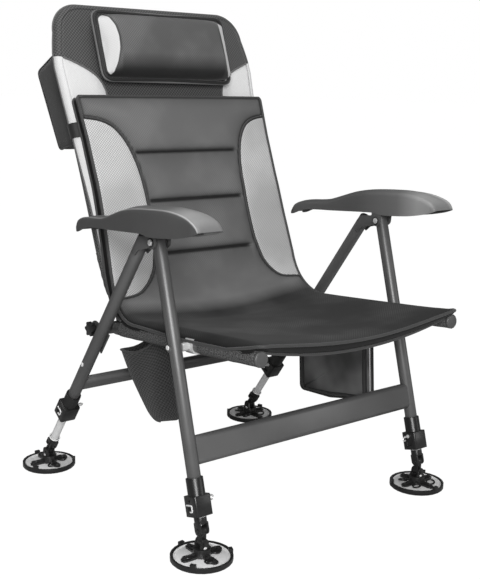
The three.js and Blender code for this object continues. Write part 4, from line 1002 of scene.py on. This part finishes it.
pillow_grid = on_back(across, along, ahead)
girth = np.cumsum(np.linalg.norm(np.diff(pillow_grid[55], axis=0, prepend=pillow_grid[55, -1:]), axis=1))
pillow = skin("pillow", pillow_grid, np.stack(np.broadcast_arrays(across * mm, girth[None]), -1), around=True,
              values={"panel": moon * mm, "painted_shade": shade})
painted(pillow, pillow_cloth)

# %% [markdown]
# The simulation blows the closed skin up like a balloon and keeps its cloth from stretching. It could be left free,
# but then the flat foot would round out as well, so no point moves further than a small limit.

# %% Stuffing by cloth simulation
def places_of(piece):
    places = np.empty(len(piece.data.vertices) * 3)
    piece.data.vertices.foreach_get("co", places)
    return places.reshape(-1, 3)


def stuffed(piece, pressure, limit, frames=14):
    """Blows a closed piece up as cloth, and lets no point move further than limit."""
    start = places_of(piece)
    only(piece)
    cloth = piece.modifiers.new("stuffing", "CLOTH")
    cloth.settings.quality = 4
    cloth.settings.mass = 0.3
    cloth.settings.use_pressure = True
    cloth.settings.uniform_pressure_force = pressure
    cloth.settings.effector_weights.gravity = 0
    cloth.collision_settings.use_collision = False
    cloth.point_cache.frame_start, cloth.point_cache.frame_end = 1, frames
    for step in range(1, frames + 1):
        bpy.context.scene.frame_set(step)
    bpy.ops.object.modifier_apply(modifier=cloth.name)
    bpy.context.scene.frame_set(1)
    moved = places_of(piece) - start
    length = np.linalg.norm(moved, axis=1, keepdims=True)
    moved *= np.minimum(1, limit * mm / np.maximum(length, 1e-9))
    piece.data.vertices.foreach_set("co", (start + moved).ravel())
    piece.data.update()
    print("stuffed", piece.name, "largest move", round(float(length.max()) / mm, 1), "mm")


stuffed(pillow, pressure=3.0, limit=2.0)
placed(pillow, "back", "black_fabric", "head_pillow")


# %% [markdown]
# The lip of the pillow is drawn as an outline with rounded corners, and a dark band and a piping are laid along it.
# The bags further on are drawn from outlines of the same kind.

# %% Lip and piping of the pillow
def box_outline(corners, radius, steps=6, per_side=10):
    """A closed outline with rounded corners, as points along its sides."""
    corners = np.asarray(corners, float)
    out = []
    for i, corner in enumerate(corners):
        before = corners[i - 1] - corner
        after = corners[(i + 1) % len(corners)] - corner
        a = corner + before / np.linalg.norm(before) * radius
        b = corner + after / np.linalg.norm(after) * radius
        out += [(1 - t) ** 2 * a + 2 * t * (1 - t) * corner + t ** 2 * b for t in np.linspace(0, 1, steps)]
        end = corner + after - after / np.linalg.norm(after) * radius
        out += [b + t * (end - b) for t in np.linspace(0, 1, per_side + 1)[1:-1]]
    return np.array(out)


def widened(outline, by):
    """The outline drawn out from its middle by a distance, or drawn in when the distance is less than zero."""
    middle = outline.mean(0)
    return middle + (outline - middle) * (1 + by / np.linalg.norm(outline - middle, axis=1, keepdims=True))


pillow_lip = box_outline([(-177, 521), (171, 518), (179, 677), (-179, 677)], 22)
for name, by, radius, ahead, finish in (("pillow_piping", 0, 2.5, pillow_ahead - 3, grey_piping),
                                        ("pillow_lip", -4.5, 4.0, pillow_ahead - 1, black_band)):
    cord(name, on_back(*widened(pillow_lip, by).T, float(ahead)), radius, finish, "back", closed=True)

# %% [markdown]
# ## Bags
# A bag is a box of cloth: an outline with rounded corners that is drawn from one side to the other. Near each side
# the outline draws in, so that the edges are soft, and each face swells a little.

# %% Boxes of cloth
def cloth_box(name, outline, from_x, to_x, place, corner, swell, finish):
    """A box drawn by its outline and stretched from one x to the other, with soft edges and swollen faces."""
    middle = outline.mean(0)
    centre, half_width = 0.5 * (from_x + to_x), 0.5 * abs(to_x - from_x)
    shares = np.linspace(-1, 1, 24)
    shares = np.sign(shares) * (1 - (1 - np.abs(shares)) ** 1.6)
    reach = np.linalg.norm(outline - middle, axis=1, keepdims=True)
    run = run_along(outline)
    fill = np.linspace(0, 0.92, 8)
    rings = [(-1, f) for f in fill] + [(share, 1.0) for share in shares] + [(1, f) for f in fill[::-1]]
    grid, flat = [], []
    for share, full in rings:
        over = max(0.0, abs(share) * half_width - half_width + corner) / corner
        inset = corner * (1 - sqrt(1 - over ** 2))
        bulge = swell * cos(share * pi / 2) * 0.5
        points = middle + (outline - middle) * (1 - (inset - bulge) / reach) * full
        x = np.full(len(points), centre + share * half_width + swell * (1 - full ** 2) * np.sign(share))
        grid.append(place(x, *points.T))
        flat.append(np.stack([x, run], -1) * mm if full == 1 else points * mm)
    return painted(skin(name, np.array(grid), np.array(flat), around=True), finish)


# %% [markdown]
# The storage bag hangs behind the back and is deeper above than below. A cord runs round each of its sides, and a
# zip between two tapes crosses its sloping rear face, which the photograph doesn't show.

# %% Storage bag
bag_half, bag_rim = 238, 3.5
zip_along, zip_half = 572.0, 215
bag_corners = [(403, -11.3), (405, -97), (596, -134), (606, -60), (609, -11.3)]
bag_outline = box_outline(bag_corners, 13)
storage = cloth_box("storage", bag_outline, -bag_half, bag_half, on_back, 9, 2.5, plain_cloth)
placed(storage, "back", "black_fabric", "storage_bag")
for hand, side in hands.items():
    cord(f"storage_piping_{hand}", on_back(side * (bag_half - bag_rim), *bag_outline.T), 1.8, binding_cloth, "back",
         closed=True)
(low, low_depth), (high, high_depth) = bag_corners[1:3]
for name, offset, radius, finish in (("storage_zip", 0, 2.2, plated_steel),
                                     ("storage_zip_tape_upper", 6, 2.6, binding_cloth),
                                     ("storage_zip_tape_lower", -6, 2.6, binding_cloth)):
    rise = zip_along + offset
    behind = low_depth + (rise - low) * (high_depth - low_depth) / (high - low) - 1.5
    cord(name, on_back(np.linspace(-zip_half, zip_half, 40), rise, behind), radius, finish, "back")

# %% [markdown]
# The zip bag hangs under the right seat tube. Its sides are glossy vinyl framed by a thick binding, and a zip with
# a metal pull runs down its front edge.

# %% Zip bag
def under_seat(across, along, down):
    return on_seat(across, along, -down)


zip_rim = box_outline([(69, 15.3), (66, 199), (73, 206), (166, 209), (268, 196), (280, 190), (281, 15.3)], 5)
zip_middle = 240.0
zip_pieces = [cloth_box("zip_pouch", zip_rim, zip_middle - 10, zip_middle + 10, under_seat, 4, 1.5, vinyl)]
for label, x in (("inner", zip_middle - 10.6), ("outer", zip_middle + 10.6)):
    for band, by, radius, finish in (("edge", 0.0, 2.6, black_band), ("cord", -5.0, 2.0, binding_cloth),
                                     ("shadow", -9.0, 2.0, black_band)):
        points = under_seat(x, *widened(zip_rim, by).T)
        zip_pieces.append(piping(f"zip_{band}_{label}", points, radius, finish, closed=True))
teeth = under_seat(zip_middle, 282.0, np.linspace(22, 184, 40))
pull = under_seat(*np.array([(240, 284, 30), (237, 287, 33), (234, 288, 48), (240, 287.5, 62), (246, 288, 48),
                             (243, 287, 33)]).T)
zip_pieces += [piping("zip_teeth", teeth, 1.6, plated_steel),
               piping("zip_pull", pull, 1.5, plated_steel, closed=True)]
zip_anchor = on_seat(zip_middle, 170.0, -15.0).tolist()
for piece in zip_pieces:
    placed(piece, "seat", "black_fabric")
    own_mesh(piece)
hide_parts("zip_bag")
print("pieces of the zip bag", len(zip_pieces))

# %% [markdown]
# The mesh pocket hangs from the edge of the sling with its mouth open and drooping towards the back. It is a
# sleeve of net that narrows to its foot, with a binding round its mouth and down its rear edge.

# %% Mesh pocket
pocket_middle, pocket_half, pocket_around = -217, 17, 56
mouth = np.array([(0, -54), (168, -2)])  # rear and front, along and up
foot = np.array([(106, -193), (212, -168)])
foot_from, foot_round = 0.84, 24
turn = circle(pocket_around)


def pocket_ring(step):
    """One ring of the pocket, from its mouth at step 0 to its foot at step 1."""
    pinch = max(0.0, (step - foot_from) / (1 - foot_from))
    inset = foot_round * (1 - sqrt(1 - min(1.0, pinch) ** 2))
    rear, front = mouth * (1 - step) + foot * step + np.array([(-5, 0), (3, 0)]) * sin(pi * step)
    way = (front - rear) / np.linalg.norm(front - rear)
    rear, front = rear + way * inset, front - way * inset
    share = 0.5 - 0.5 * np.cos(turn)
    near = np.sin(turn) < 0
    hang = (1 - step) ** 2 * np.where(near, -19, 3) * np.sin(share * pi) ** 2 - 2 * (1 - step) * np.sin(share * 9)
    thickness = pocket_half * sqrt(max(0.02, 1 - step ** 4)) * (0.9 + 0.1 * np.sin(share * 7 + step * 6))
    x = pocket_middle + thickness * np.sign(np.sin(turn)) * np.abs(np.sin(turn)) ** 0.6
    along, up = (rear + (front - rear) * share[:, None]).T
    return on_seat(x, along, up + hang)


steps = np.concatenate([np.linspace(0, foot_from, 26), np.linspace(foot_from, 1, 12)[1:]])
grid = np.array([pocket_ring(step) for step in steps])
pocket_anchor = on_seat(float(pocket_middle), 120.0, -25.0).tolist()
pocket = skin("net_pocket", grid, np.stack(np.meshgrid(turn / pi * 0.13, steps * 0.19), -1), around=True)
thick(pocket, 1.5, net_cloth)
for piece in (pocket, piping("pocket_hem", grid[0], 2.4, binding_cloth, closed=True),
              piping("pocket_edge", grid[:, 0], 2.2, binding_cloth)):
    placed(piece, "seat", "black_fabric")
    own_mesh(piece)
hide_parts("mesh_pocket")
print("rings of the pocket", len(steps))

# %% [markdown]
# ## The sling of the seat
# Under the padded cover a cloth sling runs between sleeves on the two seat tubes. It sags between them, and the
# width of its cloth is the length of that curve.

# %% Seat sling
sling_from, sling_to = 60, 496
across = np.linspace(-seat_half, seat_half, 61)
A, L = np.meshgrid(across, np.linspace(sling_from, sling_to, 50))
seat_sheet = skin("seat_sheet", on_seat(A, L, sling_up(A) - 0.9), np.stack([A, L], -1) * mm)
placed(thick(seat_sheet, 1.6, dark_cloth), "seat", "black_fabric", "seat_sling")
sling_bow = float(run_along(on_seat(across, 100.0, sling_up(across)))[-1])
for label, along, radius in (("front", sling_to - 2.0, 2.4), ("rear", sling_from + 2.0, 2.0)):
    cord(f"seat_hem_{label}", on_seat(across, along, sling_up(across) - 3.4), radius, binding_cloth, "seat")
print("seat sling", round(sling_bow, 3), "by", (sling_to - sling_from) * mm)

# %% [markdown]
# The sleeves are heathered cloth and stop short of the saddles, where the bare tube shows. Each has a piping along
# its upper outer side.

# %% Sleeves on the seat tubes
saddle_low, saddle_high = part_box("pivot_saddle_left")
saddle_along = (hinge.y - 0.5 * (saddle_low.y + saddle_high.y) / mm) / cos(seat_rise)
sleeve_gap, piping_turn, piping_out = 28, radians(62), 14.2
spans = {"rear": (sling_from, saddle_along - sleeve_gap), "front": (saddle_along + sleeve_gap, 495)}
for hand, side in hands.items():
    for end, span in spans.items():
        tube_cloth(f"seat_sleeve_{end}_{hand}", "seat", side, *span, 14.6, heather_cloth, 1.1, 70, 0.4, (9, 31))
    for end, span in spans.items():
        points = on_seat(side * (seat_half + piping_out * cos(piping_turn)), np.linspace(*span, 40),
                         piping_out * sin(piping_turn) + 0.8)
        cord(f"sleeve_piping_{end}_{hand}", points, 1.8, binding_cloth, "seat")

# %% [markdown]
# ## Armrests
# An armrest is a hollow moulding, open below. Seen from the side, a ridge runs along its top edge and falls like a
# waterfall at the front. The top panel is crowned between this ridge and a soft inner edge. The sections along the
# arm change in height and width, and a loft of sections is the plainest way to keep the ridge sharp.

# %% Profile of an armrest
arm_pivot = joint_place("armrest_left_swing")
leg_half = 296
arm_top = [(166, 40), (163.5, 46), (158, 52), (147, 58), (128, 63.5), (105, 67), (75, 68.5), (40, 67), (0, 64),
           (-40, 59.5), (-75, 53), (-105, 44.5), (-135, 35), (-160, 28), (-185, 25), (-215, 23), (-240, 19.5),
           (-258, 13.5), (-268, 6), (-274, -3)]
arm_bottom = [(166, 38.5), (155, 34.5), (142, 30.5), (120, 25.5), (95, 21), (60, 17), (30, 14.5), (14, 14),
              (-5, 16.5), (-30, 15.5), (-73, 12.4), (-110, 9.5), (-144, 7), (-185, 4.5), (-220, 1), (-240, -3.5),
              (-252, -8.5), (-265, -13), (-274, -14)]
arm_outer = [(-274, 16.7), (-262, 19.6), (-186, 23), (-145, 26.4), (-108, 30), (-55, 35), (0, 38), (130, 38.2),
             (150, 39.5), (160, 38.5), (166, 37)]
arm_inner = [(-274, -22), (-262, -24.5), (-242, -23.7), (-186, -20.9), (-145, -18.6), (20, -18.6), (90, -20.5),
             (130, -22.5), (150, -22.5), (160, -21.5), (166, -19)]
arm_crown = [(-274, 1), (-240, 2.5), (-150, 6), (-90, 7), (-20, 7), (100, 6), (150, 3), (166, 0.3)]
arm_stations = np.concatenate([166 - 0.7 * ease[:3], [164.4, 162.5, 160, 157, 153, 148, 142, 135, 127, 118],
                               np.arange(108, -236, -8.0),
                               [-240, -246, -252, -257, -262, -266, -269, -271.5, -273.5]])


def arm_curve(stops):
    dense = curve_through(stops, 400)
    order = np.argsort(dense[:, 0])
    return lambda ahead: float(np.interp(ahead, dense[order, 0], dense[order, 1]))


top_at, bottom_at = arm_curve(arm_top), arm_curve(arm_bottom)


def arm_section(ahead):
    """Out and up of the section, from the lip of the outer wall over the top to the lip of the inner wall."""
    out, inn, crown = at(ahead, arm_outer), at(ahead, arm_inner), at(ahead, arm_crown)
    low = bottom_at(ahead)
    high = max(top_at(ahead), low + 1.6)
    bead, soft = min(3.2, 0.45 * (high - low)), min(9.0, 0.7 * (high - low))
    wall = [(out - 0.8 * (1 - t), low + (high - bead - low) * t) for t in (0, 0.12, 0.35, 0.6, 0.85, 1)]
    ridge = [(out - bead + bead * cos(a), high - bead + bead * sin(a)) for a in np.linspace(0.3, pi / 2, 5)]
    groove = [(out - bead * 1.9, high - 0.35 * bead), (out - bead * 2.8, high - 0.5 * bead)]
    start, stop = out - bead * 4, inn + soft
    top = [(start + (stop - start) * t, high - 0.3 * bead + crown * sin(pi * (0.12 + 0.75 * t)) - crown * 0.25)
           for t in np.linspace(0, 1, 11)]
    last = top[-1][1]
    round_in = [(inn + soft - soft * sin(a), last - soft + soft * cos(a)) for a in np.linspace(0.25, pi / 2, 6)]
    tail = [(inn, last - soft + (low - last + soft) * t) for t in (0.35, 0.7, 1)]
    return np.array(wall + ridge + groove + top + round_in + tail)


sections = np.array([arm_section(ahead) for ahead in arm_stations])
print("sections of an armrest", sections.shape)

# %% [markdown]
# A shell is made for each hand, and a highlight is painted on its ridge and over the front of its top panel. Six
# ribs stand inside it, and two lugs hold the pivot.

# %% Armrest shell, ribs and lugs
def plate(name, outline, from_x, to_x, finish, edge):
    """A flat piece drawn by its outline on Y and Z and extruded along X, with rounded edges."""
    bpy.ops.object.select_all(action="DESELECT")
    bpy.ops.mesh.primitive_circle_add(vertices=len(outline), radius=0.1, fill_type="NGON")
    piece = bpy.context.object
    piece.name = name
    for vertex, (y, z) in zip(piece.data.vertices, outline):
        vertex.co = Vector((from_x, y, z)) * mm
    way = {"value": ((to_x - from_x) * mm, 0, 0)}
    edited(piece, (bpy.ops.mesh.extrude_region_move, {"TRANSFORM_OT_translate": way}),
           (bpy.ops.mesh.select_all, {"action": "SELECT"}),
           (bpy.ops.mesh.normals_make_consistent, {"inside": False}))
    rounded(piece, edge)
    return painted(piece, finish)


arm_wall, rib_thick = 2.6, 2
rib_places = (-256, -243, -230, -150, 60, 110)  # ahead of the pivot
lug_faces = ((16.3, 18.5), (-18.5, -16.3))  # out from the middle plane of the leg
wall_points, ridge_points = 6, 5  # as arm_section lays them
column = np.arange(sections.shape[1])
# painted highlight: along the ridge bead, more towards the front, and over the front of the top panel
on_ridge = np.exp(-((column - wall_points - ridge_points / 2) / 2.2) ** 2)
on_panel = np.where(column >= wall_points + ridge_points, 1.0, 0.0)
front_highlight = at(arm_stations, [(-274, 0), (-60, 0), (60, 0.25), (120, 0.9), (150, 0.7), (166, 0.3)])[:, None]
ridge = np.clip(on_ridge * (0.35 + 0.65 * front_highlight) + 0.55 * on_panel * front_highlight, 0, 1)
lug = [(arm_pivot.y + 12 * cos(a), arm_pivot.z + 12 * sin(a)) for a in np.linspace(pi, 2 * pi, 17)]
lug += [(arm_pivot.y + 15, arm_pivot.z + 30), (arm_pivot.y - 15, arm_pivot.z + 30)]
for hand, side in hands.items():
    grid = np.stack([side * (leg_half + sections[..., 0]),
                     np.broadcast_to(arm_pivot.y - arm_stations[:, None], sections.shape[:2]),
                     arm_pivot.z + sections[..., 1]], -1) * mm
    shell = skin(f"arm_shell_{hand}", grid, values={"ridge": ridge})
    applied(shell, "SOLIDIFY", thickness=arm_wall * mm, offset=-1, use_even_offset=True, thickness_clamp=1.0)
    bpy.ops.object.shade_smooth_by_angle(angle=radians(30))
    parts = [painted(shell, arm_plastic)]
    for i, ahead in enumerate(rib_places):
        low, high = arm_pivot.z + bottom_at(ahead) + 2.5, arm_pivot.z + top_at(ahead) - 3.5
        near, far = arm_pivot.y - ahead - rib_thick / 2, arm_pivot.y - ahead + rib_thick / 2
        parts.append(plate(f"arm_rib_{i}_{hand}", [(near, low), (far, low), (far, high), (near, high)],
                           side * (leg_half + at(ahead, arm_inner) + 2.2),
                           side * (leg_half + at(ahead, arm_outer) - 3.4), arm_plastic, 0.3))
    for i, (start, stop) in enumerate(lug_faces):
        parts.append(plate(f"arm_lug_{i}_{hand}", lug, side * (leg_half + start), side * (leg_half + stop),
                           arm_plastic, 0.5))
    only(*parts)
    bpy.ops.object.join()
    placed(shell, f"armrest_{hand}", "arm_plastic", f"armrest_{hand}")

# %% [markdown]
# Above the mouth of a rear leg a fork reaches forward to the pivot of the armrest. The real one is slim: a short
# round stub closes the tube, and two cheeks run from it to an eye round the bolt. Each cheek is flat, so it is
# drawn by its outline and extruded.

# %% Forks of the armrest pivots
eye_back, eye_radius = 40.4, 11.4  # the eye of a cheek lies this far ahead of the leg's axis
cheek_faces = ((13.4, 15.8), (-15.8, -13.4))  # out from the middle plane of the leg
stub_low, stub_high, stub_radius = -44, -25, 12.7


def beside_leg(side, back, up):
    """A place beside a rear leg: back from its axis, and up from the height of the armrest pivot."""
    lean = leans["rear"]
    return Vector((side * leg_half, arm_pivot.y + (back + eye_back) * cos(lean) + up * sin(lean),
                   arm_pivot.z - (back + eye_back) * sin(lean) + up * cos(lean)))


def cylinder(name, place, radius, height, finish, sides, edge, segments=2, turn=(0, 0, 0)):
    """A cylinder with rounded edges, which stands upright unless it is turned."""
    bpy.ops.object.select_all(action="DESELECT")
    bpy.ops.mesh.primitive_cylinder_add(vertices=sides, radius=radius * mm, depth=height * mm,
                                        location=Vector(place) * mm, rotation=turn)
    piece = bpy.context.object
    piece.name = name
    bpy.ops.object.transform_apply(location=True, rotation=True)
    rounded(piece, edge, segments)
    return painted(piece, finish)


eye = [(-eye_back + eye_radius * cos(a), eye_radius * sin(a)) for a in np.linspace(radians(62), radians(262), 15)]
cheek = [(-2, -60), (-1, -20), (-4, -16.5)] + eye + [(-15, -44), (-11, -60)]
for hand, side in hands.items():
    low, high = beside_leg(side, 0, stub_low), beside_leg(side, 0, stub_high)
    fork = cylinder(f"fork_stub_{hand}", 0.5 * (low + high), stub_radius, (high - low).length, paint_grey, 48, 3, 4,
                    (-leans["rear"], 0, 0))
    outline = [tuple(beside_leg(side, back, up)[1:]) for back, up in cheek]
    only(fork, *[plate(f"fork_cheek_{i}_{hand}", outline, side * (leg_half + start), side * (leg_half + stop),
                       paint_grey, 0.5) for i, (start, stop) in enumerate(cheek_faces)])
    bpy.ops.object.join()
    placed(fork, nodes[f"arm_fork_{hand}"]["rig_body"], "powder_coat", f"arm_fork_{hand}")

# %% [markdown]
# ## Small metal
# The mud feet carry a bright pressed plate under the black spider, with a ring where it meets the rim. Each leg
# lock has a wire lever in its window, and dark washers and bright rivets sit at the pivots.

# %% Plates and loops of the mud feet
def hoop(name, place, major, minor, finish, tilt=(0, 0, 0)):
    bpy.ops.object.select_all(action="DESELECT")
    bpy.ops.mesh.primitive_torus_add(major_radius=major * mm, minor_radius=minor * mm, major_segments=40,
                                     minor_segments=10, location=Vector(place) * mm, rotation=tilt)
    piece = bpy.context.object
    piece.name = name
    bpy.ops.object.transform_apply(location=True, rotation=True)
    bpy.ops.object.shade_smooth()
    return painted(piece, finish)


feet = {(end, hand): joint_place(f"ankle_{end}_{hand}_{ankle_pins[end][1]}") for end, hand in legs}
foot_turns = (-143, -93, -150, -100)  # in the photograph each foot has swivelled its own way
plate_up, plate_thick, plate_radius = 8.075, 0.35, 52.5
loop_reach, loop_up, loop_tilt = 30, 11.5, radians(14)
for ((end, hand), centre), turned_by in zip(feet.items(), foot_turns):
    label, body = f"{end}_{hand}", f"foot_{end}_{hand}"
    placed(cylinder(f"foot_plate_{label}", (centre.x, centre.y, plate_up), plate_radius, plate_thick, foot_metal,
                    64, 0.4 * plate_thick), body, "bolt_steel")
    placed(hoop(f"foot_ring_{label}", (centre.x, centre.y, 8.6), 51.8, 1.3, foot_metal), body, "bolt_steel")
    for i in range(4):
        angle = radians(turned_by + 45 + 90 * i)
        spot = (centre.x + loop_reach * cos(angle), centre.y + loop_reach * sin(angle), loop_up)
        placed(hoop(f"foot_loop_{i}_{label}", spot, 8.5, 1.9, black_plastic, (loop_tilt, 0, angle)),
               body, "black_plastic")

# %% [markdown]
# A lever is a bent wire, given by its distance back and up from the window of the leg lock. A ring goes round each
# inner tube where it enters the ankle fork. Rivets have domed heads, which are short cylinders with round edges.

# %% Levers, rivets and washers
lever_stops = [(11, 5.8), (5, 5.8), (-4, 5.6), (-5.4, 4.2), (-5.6, 0), (-5.4, -4.8), (-4, -6.2), (2, -6.4)]
lever_out, window_up = 18.6, {"front": 44, "rear": 123}
rivet_up, rivet_out = {"front": 340.3, "rear": 279}, {"front": 16.1, "rear": 13.4}
ring_up, ring_radius = 26.6, 11.3
foot_rivets_up, foot_rivet_out, rivet_height = (36.0, 25.5), 10.9, 1.8


def rivet(name, place, radius, body, along_y=False):
    """A domed head on the X axis or on Y."""
    head = cylinder(name, place, radius, rivet_height, foot_metal, 24, 0.42 * rivet_height, 3,
                    (pi / 2, 0, 0) if along_y else (0, pi / 2, 0))
    return placed(head, body, "bolt_steel")


for end, hand in legs:
    side, label, lean = hands[hand], f"{end}_{hand}", leans[end]
    base = joint_place(f"ankle_{label}_{ankle_pins[end][0]}")
    up, back = Vector((0, sin(lean), cos(lean))), Vector((0, cos(lean), -sin(lean)))
    wire = [base + up * (window_up[end] + b) + back * a + Vector((side * lever_out, 0, 0)) for a, b in lever_stops]
    cord(f"lock_lever_{label}", curve_through([tuple(p * mm) for p in wire], 40), 1.5, foot_metal,
         nodes[f"leg_lock_{label}"]["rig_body"], slot="bolt_steel")
    ring = [base + up * ring_up + back * ring_radius * cos(a) + Vector((ring_radius * sin(a), 0, 0))
            for a in circle(32)]
    cord(f"fork_ring_{label}", [tuple(p * mm) for p in ring], 1.3, foot_metal,
         nodes[f"inner_tube_{label}"]["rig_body"], closed=True, slot="bright_tube")
    rivet(f"leg_rivet_{label}", base + up * rivet_up[end] + Vector((side * rivet_out[end], 0, 0)), 4.6,
          nodes[f"{end}_leg_{hand}"]["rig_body"])
for (end, hand), centre in feet.items():
    way = Vector((0, -1, 0)) if end == "front" else Vector((-1, 0, 0))
    for i, up in enumerate(foot_rivets_up):
        for face in (1, -1):
            spot = Vector((centre.x, centre.y, up)) + way * face * foot_rivet_out
            rivet(f"foot_rivet_{end}_{hand}_{i}_{face}", spot, 3.4, f"foot_{end}_{hand}", along_y=end == "front")
for hand, side in hands.items():
    for i, out in enumerate((19.2, -19.2)):
        spot = (side * (leg_half + out), arm_pivot.y, arm_pivot.z)
        placed(hoop(f"arm_washer_{i}_{hand}", spot, 7.6, 1.2, black_plastic, (0, pi / 2, 0)),
               f"armrest_{hand}", "black_plastic")
print("levers", len(legs), "feet", len(feet))
